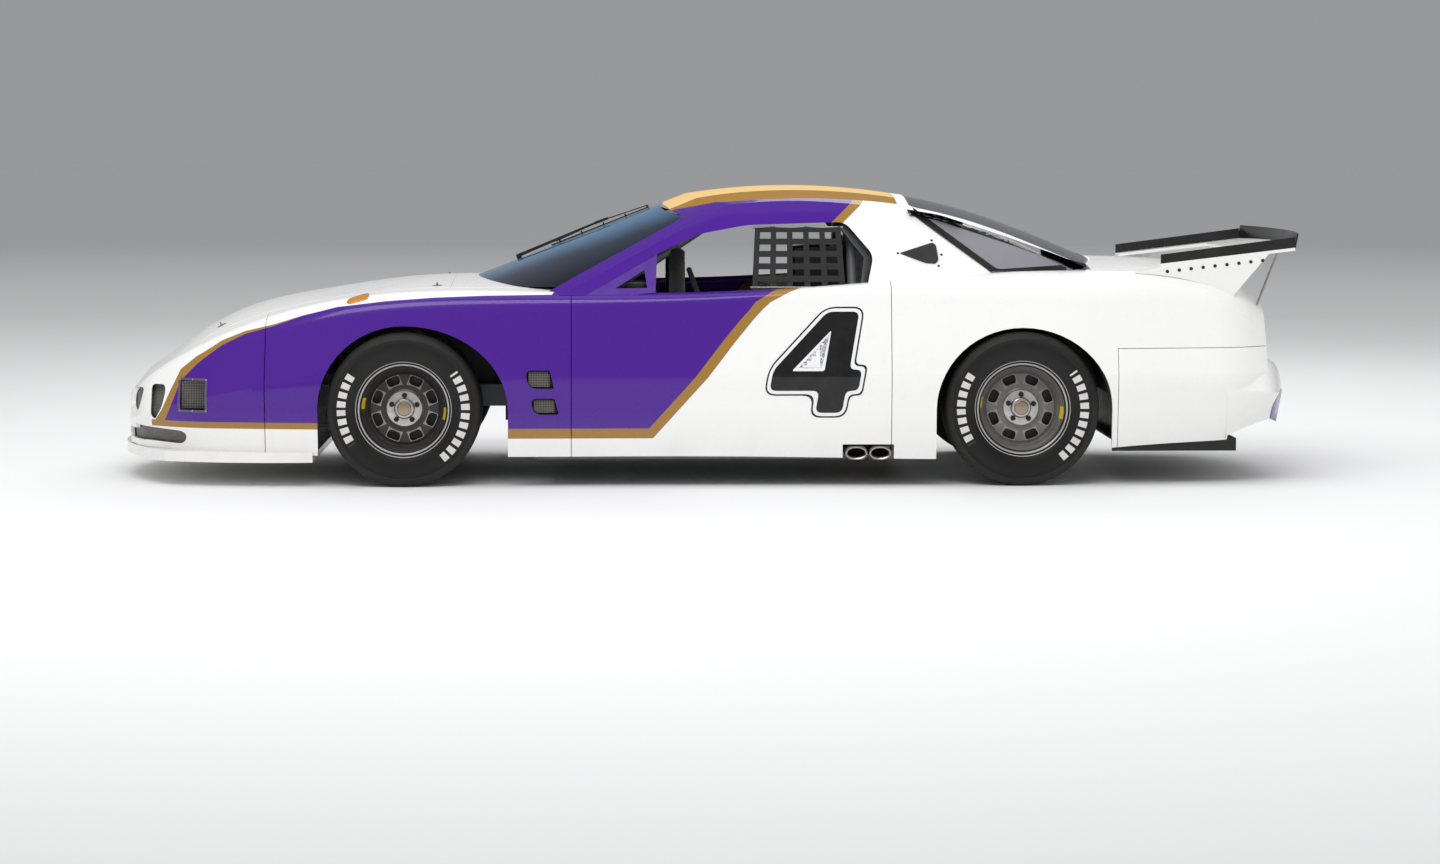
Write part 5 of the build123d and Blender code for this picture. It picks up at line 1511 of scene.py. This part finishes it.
def wireGrid(name, sign, opening, y, fit, counts):
    # Level wires in a column, and posts in a row behind them
    x, z, long, tall = opening
    thick, pitch = wires["thick"], wires["pitch"]
    left, low = x - long / 2, z - tall / 2
    levelZ, postX = low + fit["levelLow"], left + fit["postFirst"]
    for kind, deep, (x0, z0), (x1, z1), count, step in (
        ("wires", fit["deep"], (left + fit["levelEnd"], levelZ),
         (x + long / 2 - fit["levelEnd"], levelZ + thick), counts[0], (0, 0, pitch)),
        ("posts", fit["deep"] + wires["behind"], (postX, low + fit["postEnd"]),
         (postX + thick, z + tall / 2 - fit["postEnd"]), counts[1], (pitch, 0, 0)),
    ):
        depth = sign * (y - deep)
        bar = barMesh((x0, depth, z0), (x1, depth + sign * thick, z1))
        repeated(name % kind, "chassis", "wire", bar, count, step)


# side vents, and the square ducts with their frames and rivets
duct = {
    "dish": 0.10,
    "frame": 0.010,
    "frameThick": 0.0022,
    "rivets": ((-1, -1), (1, -1), (1, 1), (-1, 1), (0, -1), (0, 1)),
    "rivetOut": 0.004,
    "rivet": (0.0035, 0.0025, 8),
}
noseTree = [treeOf(nose)]
for sign, side in sides:
    for k, vent in enumerate(openings["vents"]):
        x, z, long, tall = vent
        y = sideY(x, z)
        outline = ventOutline(*vent, 0.001)
        bucket("vent_dish_%d_%s" % (k, side), outline, sign * (y - 0.012), sign * (y - 0.060), "black",
               "fenders_paint")
        counts = (int((tall - 0.018) / wires["pitch"]), int((long - 0.022) / wires["pitch"]))
        wireGrid("vent_%%s_%d_%s" % (k, side), sign, vent, y, wires["vent"], counts)
    x, z, long, tall = openings["duct"]
    y = sideY(x - long / 2, z)
    bucket("duct_dish_" + side, roundedBox(x, z, long - 0.004, tall - 0.004, 0.007), sign * (y - 0.012),
           sign * (y - duct["dish"]), "black", "nose_cover_paint")
    wireGrid("duct_%s_" + side, sign, openings["duct"], y, wires["duct"], wires["ductCounts"])
    inner = roundedBox(x, z, long, tall, 0.006, 3)
    frameSheet = laidSheet("duct_frame_" + side, [grown(inner, duct["frame"]), inner], sign, noseTree,
                           0.0003, duct["frameThick"])
    place(frameSheet, "chassis", "frameTrim", slotName="nose_cover_paint")
    for i, (dx, dz) in enumerate(duct["rivets"]):
        rx, rz = x + dx * (long / 2 + duct["rivetOut"]), z + dz * (tall / 2 + duct["rivetOut"])
        spot = (rx, outerY(noseTree, rx, rz, sign) + sign * 0.002, rz)
        bolt("duct_rivet_%d_%s" % (i, side), "steel", "nose_cover_paint", spot, (0, sign, 0),
             *duct["rivet"])
print("vents dressed")

# mesh strips behind the nose's holes, each from x to x and from z to z
grilles = {
    "nostril": (-2.674, -2.470, 0.285, 0.462),
    "intake": (-2.680, -2.366, 0.176, 0.272),
    "inset": 0.024,
    "under": 0.016,          # kept this far below the body's shoulder
    "thick": 0.0015,
    "columns": 30,
    "rows": 8,
}


def grilleStrip(name, sign, x0, x1, z0, z1):
    columns, rows, inset = grilles["columns"], grilles["rows"], grilles["inset"]
    vertices = []
    for i in range(columns + 1):
        x = x0 + (x1 - x0) * i / columns
        high = min(z1, float(bodyProfile(x)[crown, 1]) - grilles["under"])
        for j in range(rows + 1):
            z = z0 + (high - z0) * j / rows
            vertices.append((x + inset * 0.7, sign * (sideY(x, z) - inset), z))
    thing = recalc(meshFrom(name, vertices, quads(columns + 1, rows + 1, closed=False)))
    modify(thing, "SOLIDIFY", thickness=grilles["thick"], offset=0.0)
    return place(applyAll(thing), "chassis", "grille", slotName="nose_cover_paint")


for sign, side in sides:
    for key in ("nostril", "intake"):
        grilleStrip(key + "_mesh_" + side, sign, *grilles[key])

# bolts along the wing's fins and shelf: first place, axis, how many and the step between them
wingBolts = {
    "fin": ((2.075, 0.7452, 0.964), 9, (0.0545, 0, 0.0062)),
    "shelf": ((2.105, 0.700, 1.0075), 8, (0.060, 0, 0.0071)),
    "shelfLean": (-0.12, 0, 1),
}
for sign, side in sides:
    (x, y, z), count, step = wingBolts["fin"]
    repeated("fin_bolts_" + side, "chassis", "dark", boltMesh((x, sign * y, z), (0, sign, 0)), count, step)
    (x, y, z), count, step = wingBolts["shelf"]
    top = boltMesh((x, sign * y, z), wingBolts["shelfLean"])
    repeated("shelf_bolts_" + side, "chassis", "steel", top, count, step)

# amber lamps on the fender tops: a domed lens with rounded ends
lamp = {
    "x0": -1.654,
    "x1": -1.552,
    "low": 0.818,
    "high": 0.846,
    "rise": 0.26,
    "lift": 0.004,
    "columns": 14,
    "rows": 10,
}
for sign, side in sides:
    vertices = []
    for i in range(lamp["columns"] + 1):
        u = i / lamp["columns"]
        x = lamp["x0"] + (lamp["x1"] - lamp["x0"]) * u
        points = bodyProfile(x)
        width = math.sqrt(max(0.0, 1 - (2 * u - 1) ** 4))
        for j in range(lamp["rows"] + 1):
            v = j / lamp["rows"]
            z = lamp["low"] + (lamp["high"] - lamp["low"]) * (0.5 + (v - 0.5) * width)
            z += (x - lamp["x0"]) * lamp["rise"]
            y = float(np.interp(z, points[:, 1], points[:, 0]))
            rise = lamp["lift"] * math.sin(math.pi * v) ** 0.5 * width if 0 < v < 1 else -0.0005
            vertices.append((x, sign * (y + rise * 0.5), z + rise))
    faces = quads(lamp["columns"] + 1, lamp["rows"] + 1, closed=False)
    thing = recalc(meshFrom("amber_lamp_" + side, vertices, faces), 0.00005)
    modify(thing, "SOLIDIFY", thickness=0.0015, offset=0.0)
    place(applyAll(thing), "chassis", "amber", slotName="fenders_paint")


# half width of the cabin's side at x and height z
def cabinY(x, z):
    t = (z - cabinShape["lowZ"]) / (cabinShape["highZ"] - cabinShape["lowZ"])
    (_, ly0), (_, ly1) = cabinShape["low"][2:]
    (bx, hy0), (ex, hy1) = cabinShape["high"][2:]
    k = max(0.0, (x - bx) / (ex - bx))
    low, high = ly0 + (ly1 - ly0) * k, hy0 + (hy1 - hy0) * k
    return min(cabinShape["halfY"], low + (high - low) * t)


# the window net: woven straps, hung from a rod. Its flat size is that of the opening it covers:
# x1 - x0 wide, and as tall as high - low with the 0.2 m that the cabin's side leans in
net = {
    "x0": 0.176,
    "x1": 0.602,
    "lean": 0.022,
    "low": 0.866,
    "high": 1.168,
    "leansIn": 0.2,
    "columns": 6,
    "rows": 6,
    "strap": 0.027,
    "thick": 0.0013,
    "setIn": 0.0150,
    "weave": 0.0014,
    "sag": 0.004,
    "cells": 36,
    "topRod": 0.0055,
    "lowRod": 0.0045,
}


def netPoint(u, v, out):
    x = net["x0"] + net["lean"] * v + (net["x1"] - net["x0"] - net["lean"] * v * 1.6) * u
    z = net["low"] + (net["high"] - net["low"]) * v
    slack = net["sag"] * math.sin(math.pi * u) * math.sin(math.pi * v)
    return Vector((x, -(cabinY(x, z) - net["setIn"] + out - slack), z))


def netStrap(vertices, faces, along, at, half):
    wave = net["rows"] if along == "v" else net["columns"]
    turn = 1 if along == "v" else -1
    start = len(vertices)
    for i in range(net["cells"] + 1):
        t = i / net["cells"]
        out = turn * net["weave"] * math.cos(math.pi * (t * (wave - 1)))
        for off in (-half, half):
            for skin in (0.0, net["thick"]):
                u, v = (at + off, t) if along == "v" else (t, at + off)
                vertices.append(netPoint(u, v, out + skin))
    for i in range(net["cells"]):
        a, b = start + i * 4, start + i * 4 + 4
        faces += [(a, b, b + 1, a + 1), (a + 2, a + 3, b + 3, b + 2)]
        faces += [(a, a + 2, b + 2, b), (a + 1, b + 1, b + 3, a + 3)]
    a = start + net["cells"] * 4
    faces += [(start, start + 1, start + 3, start + 2), (a, a + 2, a + 3, a + 1)]


vertices, faces = [], []
halfU = net["strap"] / 2 / (net["x1"] - net["x0"])
halfV = net["strap"] / 2 / (net["high"] - net["low"])
for k in range(net["columns"]):
    netStrap(vertices, faces, "v", halfU + (1 - 2 * halfU) * k / (net["columns"] - 1), halfU)
for k in range(net["rows"]):
    netStrap(vertices, faces, "u", halfV + (1 - 2 * halfV) * k / (net["rows"] - 1), halfV)
windowNet = recalc(meshFrom("window_net_straps", vertices, faces), 0.000001)
place(windowNet, "chassis", "web", ["window_net"], 40.0, "window_net_stock")


# straight round bars between pairs of points, as one mesh
def rodMesh(name, runs, turns=14):
    vertices, faces = [], []
    for a, b, radius in runs:
        a, b = Vector(a), Vector(b)
        spin = (b - a).to_track_quat("Z", "Y").to_matrix()
        start = len(vertices)
        for end in (a, b):
            vertices += [end + spin @ Vector((u, v, 0)) for u, v in circle(turns, radius)]
        faces += quads(2, turns, start=start)
        faces += [tuple(start + k for k in range(turns))[::-1],
                  tuple(start + turns + k for k in range(turns))]
    return recalc(meshFrom(name, vertices, faces), 0.000001)


netRods = rodMesh("net_rods", [
    (netPoint(-0.03, 0.985, -0.004), netPoint(1.03, 0.985, -0.004), net["topRod"]),
    (netPoint(-0.02, 0.10, -0.004), netPoint(1.02, 0.10, -0.004), net["lowRod"]),
])
place(netRods, "chassis", "steel", slotName="wing_rods_stock")

# the padded posts of the cage behind the gussets; ties bite into the foam
post = {
    "low": (-0.158, 0.693, 0.610),
    "high": (-0.158, 0.548, 1.074),
    "tube": 0.020,
    "pad": 0.036,
    "padLow": 0.42,
    "padHigh": 0.97,
    "ties": 4,
    "bite": 0.18,
    "ripple": 0.012,
    "rings": 44,
    "turns": 28,
}


def padRadius(t):
    # Outer radius of the foam at a share of its length
    tie = (t * (post["ties"] + 1)) % 1.0
    bite = max(0.0, 1 - abs(tie - (0.0 if t < 0.5 else 1.0)) * 14) if 0.1 < t < 0.9 else 0.0
    taper = min(1.0, min(t, 1 - t) * 22) ** 0.5
    return post["tube"] + 0.001 + (post["pad"] - post["tube"]) * taper * (1 - post["bite"] * bite)


for sign, side in sides:
    low, high = [Vector((x, sign * y, z)) for x, y, z in (post["low"], post["high"])]
    tube = rodMesh("cage_post_" + side, [(low, high, post["tube"])])
    place(tube, "chassis", "frameGrey", slotName="roll_cage_coat")
    vertices = []
    spin = (high - low).to_track_quat("Z", "Y").to_matrix()
    rings, turns = post["rings"], post["turns"]
    for i in range(rings + 1):
        t = i / rings
        at = low.lerp(high, post["padLow"] + (post["padHigh"] - post["padLow"]) * t)
        for k in range(turns):
            a = 2 * math.pi * k / turns
            radius = padRadius(t) * (1 + post["ripple"] * math.sin(a * 5 + i * 0.7))
            vertices.append(at + spin @ Vector((radius * math.cos(a), radius * math.sin(a), 0)))
    ends = [tuple(range(turns))[::-1], tuple(rings * turns + k for k in range(turns))]
    pad = recalc(meshFrom("cage_pad_" + side, vertices, quads(rings + 1, turns) + ends), 0.00001)
    place(pad, "chassis", "pad", slotName="roll_cage_coat", angle=50.0)
print("net and pads hung")

# black printed borders and bolts round the quarter windows, and the triangular vents behind the doors
quarterEdge = {
    "wide": 0.027,
    "gap": 0.0015,
    "bolts": (0.02, 0.16, 0.30, 0.44, 0.62, 0.80),     # shares of the way round
}
sailVent = {
    "outline": [(0.852, 1.047), (0.975, 1.002), (1.018, 1.000), (1.030, 1.018), (1.022, 1.084),
                (1.006, 1.094)],
    "corner": 0.010,
    "thick": 0.0022,
    "rise": 0.010,           # it swells outwards towards its rear, round a middle height
    "run": 0.17,
    "middleZ": 1.045,
    "halfTall": 0.05,
    "bolts": [(0.846, 1.047), (1.004, 1.104), (1.046, 1.040), (1.030, 0.990)],
}
smallBolt = (0.0045, 0.0035, 8)
quarterTree, sailTree = [treeOf(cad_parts["quarter_windows"])], [treeOf(cabinRear)]
for sign, side in sides:
    outer = grown(quarterOutline, -quarterEdge["gap"])
    inner = grown(outer, -quarterEdge["wide"])
    border = laidSheet("quarter_border_" + side, [outer, inner], sign, quarterTree, 0.0004, 0.0006)
    place(border, "chassis", "blackGlass", slotName="quarter_windows_clear")
    middle = grown(outer, -quarterEdge["wide"] / 2)
    for i, share in enumerate(quarterEdge["bolts"]):
        bx, bz = middle[int(share * len(middle))]
        by = outerY(quarterTree, bx, bz, sign)
        if by is not None:
            bolt("border_bolt_%d_%s" % (i, side), "steel", "quarter_windows_clear",
                 (bx, by + sign * 0.001, bz), (0, sign, 0.5), *smallBolt)
    outline = roundCorners(sailVent["outline"], sailVent["corner"])
    vent = laidSheet("sail_vent_" + side, [outline], sign, sailTree, 0.0003, sailVent["thick"])
    for vertex in vent.data.vertices:
        reach = (vertex.co.x - sailVent["outline"][0][0]) / sailVent["run"]
        off = min(1.0, abs(vertex.co.z - sailVent["middleZ"]) / sailVent["halfTall"])
        vertex.co.y += sign * sailVent["rise"] * max(0.0, min(1.0, reach)) * (1 - off ** 2)
    place(vent, "chassis", "black", slotName="rear_pillars_paint")
    for i, (bx, bz) in enumerate(sailVent["bolts"]):
        spot = (bx, outerY(sailTree, bx, bz, sign), bz)
        bolt("sail_bolt_%d_%s" % (i, side), "dark", "rear_pillars_paint", spot, (0, sign, 0.6), *smallBolt)

# black gasket round the rear edge of the door window
gasket = {
    "outline": [(0.560, 1.168), (0.609, 1.178), (0.727, 1.030), (0.698, 0.915), (0.698, 0.905),
                (0.670, 0.905), (0.690, 1.028), (0.590, 1.156), (0.560, 1.152)],
    "setIn": 0.022,
    "deep": 0.010,
}
for sign, side in sides:
    vertices = []
    n = len(gasket["outline"])
    for depth in (gasket["setIn"], gasket["setIn"] + gasket["deep"]):
        vertices += [(x, sign * (cabinY(x, z) - depth), z) for x, z in gasket["outline"]]
    faces = quads(2, n) + [tuple(range(n)), tuple(range(n, 2 * n))[::-1]]
    edge = recalc(meshFrom("window_gasket_" + side, vertices, faces), 0.00001)
    place(softEdges(edge, 0.002, 2, 50), "chassis", "black", slotName="roof_paint")

# the wiper: an arm on its pivot, a bowed bridge with claws and a rubber blade.
# each bar: from and to as shares of the run, its low and high edge at both ends, and half its width
wiper = {
    "x0": -0.905,
    "x1": -0.278,
    "under": 0.026,          # the run ends this far below the CAD wiper's top
    "arm": (0.0, 0.62, 0.006, 0.022, 0.020, 0.030, 0.0065),
    "hook": (0.60, 0.70, 0.018, 0.032, 0.018, 0.030, 0.009),
    "bridgeFront": (0.30, 0.65, 0.010, 0.015, 0.022, 0.027, 0.005),
    "bridgeRear": (0.65, 1.0, 0.022, 0.027, 0.010, 0.015, 0.005),
    "rubber": (0.26, 1.0, 0.0, 0.006, 0.0, 0.006, 0.0022),
    "pivot": (0.0, 0.035, 0.0, 0.020, 0.0, 0.024, 0.014),
    "claw": (0.003, 0.014, 0.003, 0.014, 0.0048),
    "claws": 5,
    "clawStart": 0.32,
    "clawRun": 0.66,
    "clawLong": 0.012,
}
wiperLow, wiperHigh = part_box("wiper")
wiperRun = Vector((wiper["x1"] - wiper["x0"], 0, (wiperHigh[2] - wiper["under"]) - wiperLow[2]))
wiperUp = Vector((-wiperRun.z, 0, wiperRun.x)).normalized()


def wiperBar(vertices, faces, t0, t1, low0, high0, low1, high1, half):
    start = len(vertices)
    for t, low, high in ((t0, low0, high0), (t1, low1, high1)):
        base = Vector((wiper["x0"], 0.0, wiperLow[2])) + wiperRun * t
        vertices += [base + wiperUp * rise + Vector((0, y, 0))
                     for y in (-half, half) for rise in (low, high)]
    faces += [tuple(start + i for i in face) for face in boxFaces]


vertices, faces = [], []
for key in ("arm", "hook", "bridgeFront", "bridgeRear"):
    wiperBar(vertices, faces, *wiper[key])
for k in range(wiper["claws"]):
    t = wiper["clawStart"] + wiper["clawRun"] * k / (wiper["claws"] - 1)
    wiperBar(vertices, faces, t, t + wiper["clawLong"], *wiper["claw"])
for key in ("rubber", "pivot"):
    wiperBar(vertices, faces, *wiper[key])
wiperPiece = softEdges(recalc(meshFrom("wiper_arm_and_blade", vertices, faces), 0.000001), 0.0011, 2, 40)
place(wiperPiece, "chassis", "gloss", ["wiper"], 40.0, "wiper_plastic")

# rolled lips and sooty linings of the exhaust ends; the lip's section as (growth, y) points
pipes = {
    "xs": (0.646, 0.754),
    "z": 0.152,
    "long": 0.100,
    "tall": 0.062,
    "y": -0.915,
    "lip": [(0.0, 0.030), (0.0, 0.0), (-0.001, -0.003), (-0.004, -0.004), (-0.008, -0.002),
            (-0.009, 0.004), (-0.010, 0.020)],
    "liningIn": 0.022,
    "liningFrom": 0.006,
    "deep": 0.10,
    "turns": 40,
}
oval = circle(pipes["turns"], 0.5)
for i, px in enumerate(pipes["xs"]):
    vertices = []
    for grow, y in pipes["lip"]:
        long, tall = pipes["long"] + 2 * grow, pipes["tall"] + 2 * grow
        vertices += [(px + u * long, pipes["y"] + y, pipes["z"] + v * tall) for u, v in oval]
    lip = recalc(meshFrom("pipe_lip_%d" % i, vertices, quads(len(pipes["lip"]), pipes["turns"])), 0.00001)
    modify(lip, "SOLIDIFY", thickness=0.001, offset=-1.0)
    place(applyAll(lip), "chassis", "pipeEnd", slotName="exhaust_stock")
    long, tall = pipes["long"] - pipes["liningIn"], pipes["tall"] - pipes["liningIn"]
    mouth = [(px + u * long, pipes["z"] + v * tall) for u, v in oval]
    bucket("pipe_lining_%d" % i, mouth, pipes["y"] + pipes["liningFrom"], pipes["y"] + pipes["deep"],
           "soot", "exhaust_stock")

# hood and deck lid pins on their round plates: body, x and half spacing
pins = {
    "places": [("hood", -2.255, 0.470), ("hood", -1.255, 0.620), ("deck_lid", 2.300, 0.470)],
    "plate": (0.017, 0.0022, 18),
    "stud": (0.0042, 0.014, 10),
}
lidTrees = {"hood": treeOf(hood), "deck_lid": treeOf(lid)}
for k, (body, px, py) in enumerate(pins["places"]):
    for sign, side in sides:
        spot, normal = lidTrees[body].ray_cast(Vector((px, sign * py, 2.0)), Vector((0, 0, -1)))[:2]
        slotName = body + "_paint"
        bolt("pin_plate_%d_%s" % (k, side), "steel", slotName, spot, normal, *pins["plate"], body=body)
        spot = spot + normal * 0.002
        bolt("pin_stud_%d_%s" % (k, side), "steel", slotName, spot, normal, *pins["stud"], body=body)
print("small pieces made")

# finishes of the carried-over nodes
nodeFinish = {
    "windshield": "screen", "rear_window": "rearGlass", "quarter_windows": "sideGlass",
    "door_gussets": "purple", "window_net": "web", "splitter": "white",
    "chassis_frame": "frameGrey", "floor_pan": "sheet", "exhaust": "exhaust",
    "roll_cage": "frameGrey", "dashboard": "black", "seat": "shell",
    "steering_column": "dark", "steering_wheel": "pad", "engine": "cast",
    "fuel_cell": "black", "rear_axle": "dark", "front_arms": "dark",
    "knuckle_left": "cast", "knuckle_right": "cast", "steering_rack": "steel",
    "wing": "white", "spoiler": "gloss", "wing_rods": "steel",
    "wiper": "black", "wheel_tubs": "dark", "undertray": "black",
}
for node, key in nodeFinish.items():
    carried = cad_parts[node]
    carried.data.materials.clear()
    carried.data.materials.append(finish[key])

for thing in cutters:
    bpy.data.objects.remove(thing)

# stage and light
stage = {
    "reach": 140.0,
    "under": 0.0005,
    # the floor's colour near the car, further out and far away, and the distances it changes over: a
    # painted pool of light, lighter round the car and darker towards the horizon
    "near": (0.86, 0.86, 0.86),
    "middle": (0.60, 0.60, 0.60),
    "far": (0.40, 0.40, 0.405),
    "fade": (4.5, 34.0),
    "cloud": (0.72, 0.72, 0.73, 1.0),
    "sky": (0.985, 0.99, 1.0, 1.0),
    "skyStrength": 0.80,
    "backdrop": (0.312, 0.314, 0.320, 1.0),
    # each light: where it is, the height it looks at, width, height and power
    "topLight": ((0.0, -1.0, 7.0), 0.5, 8.0, 3.0, 70.0),
    "sideLight": ((-2.0, -7.0, 8.5), 0.6, 8.0, 3.5, 420.0),
    "rearLight": ((3.0, 7.0, 6.0), 0.6, 6.0, 3.0, 120.0),
}
reach = stage["reach"]
corners = [(u * reach, v * reach, -stage["under"]) for u, v in ((-1, -1), (1, -1), (1, 1), (-1, 1))]
floor = meshFrom("floor", corners, [(0, 1, 2, 3)])
board = Board("floorPaint")
point, (x, y, z) = board.place()
away = (x * x + y * y).maths("SQRT")
# painted pool of light: the floor is coloured lighter near the car and darker far away
tint = board.ramp(away, *stage["fade"],
                  [(0.0, stage["near"]), (0.35, stage["middle"]), (1.0, stage["far"])])
board.set(Base_Color=board.mix(board.noise(point, 0.6) * 0.04, tint, stage["cloud"]), Roughness=0.8,
          Specular_IOR_Level=0.1)
floor.data.materials.append(board.material)
world = bpy.data.worlds.new("studio")
bpy.context.scene.world = world
world.use_nodes = True
skyTree = world.node_tree
plain = skyTree.nodes["Background"]
plain.inputs[0].default_value = stage["sky"]
plain.inputs[1].default_value = stage["skyStrength"]
seen = skyTree.nodes.new("ShaderNodeBackground")
seen.inputs[0].default_value = stage["backdrop"]
seen.inputs[1].default_value = 1.0
either = skyTree.nodes.new("ShaderNodeMixShader")
rays = skyTree.nodes.new("ShaderNodeLightPath")
anyRay = rays.outputs["Is Camera Ray"]
for kind in ("Is Glossy Ray", "Is Transmission Ray"):
    most = skyTree.nodes.new("ShaderNodeMath")
    most.operation = "MAXIMUM"
    skyTree.links.new(anyRay, most.inputs[0])
    skyTree.links.new(rays.outputs[kind], most.inputs[1])
    anyRay = most.outputs[0]
skyTree.links.new(anyRay, either.inputs[0])
skyTree.links.new(plain.outputs[0], either.inputs[1])
skyTree.links.new(seen.outputs[0], either.inputs[2])
skyTree.links.new(either.outputs[0], skyTree.nodes["World Output"].inputs[0])

for name in ("topLight", "sideLight", "rearLight"):
    where, lookZ, width, height, power = stage[name]
    data = bpy.data.lights.new(name, "AREA")
    data.shape = "RECTANGLE"
    data.size, data.size_y = width, height
    data.energy = power
    light = bpy.data.objects.new(name, data)
    light.location = where
    light.rotation_euler = (Vector((0, 0, lookZ)) - Vector(where)).to_track_quat("-Z", "Y").to_euler()
    bpy.context.scene.collection.objects.link(light)

print("finishing")
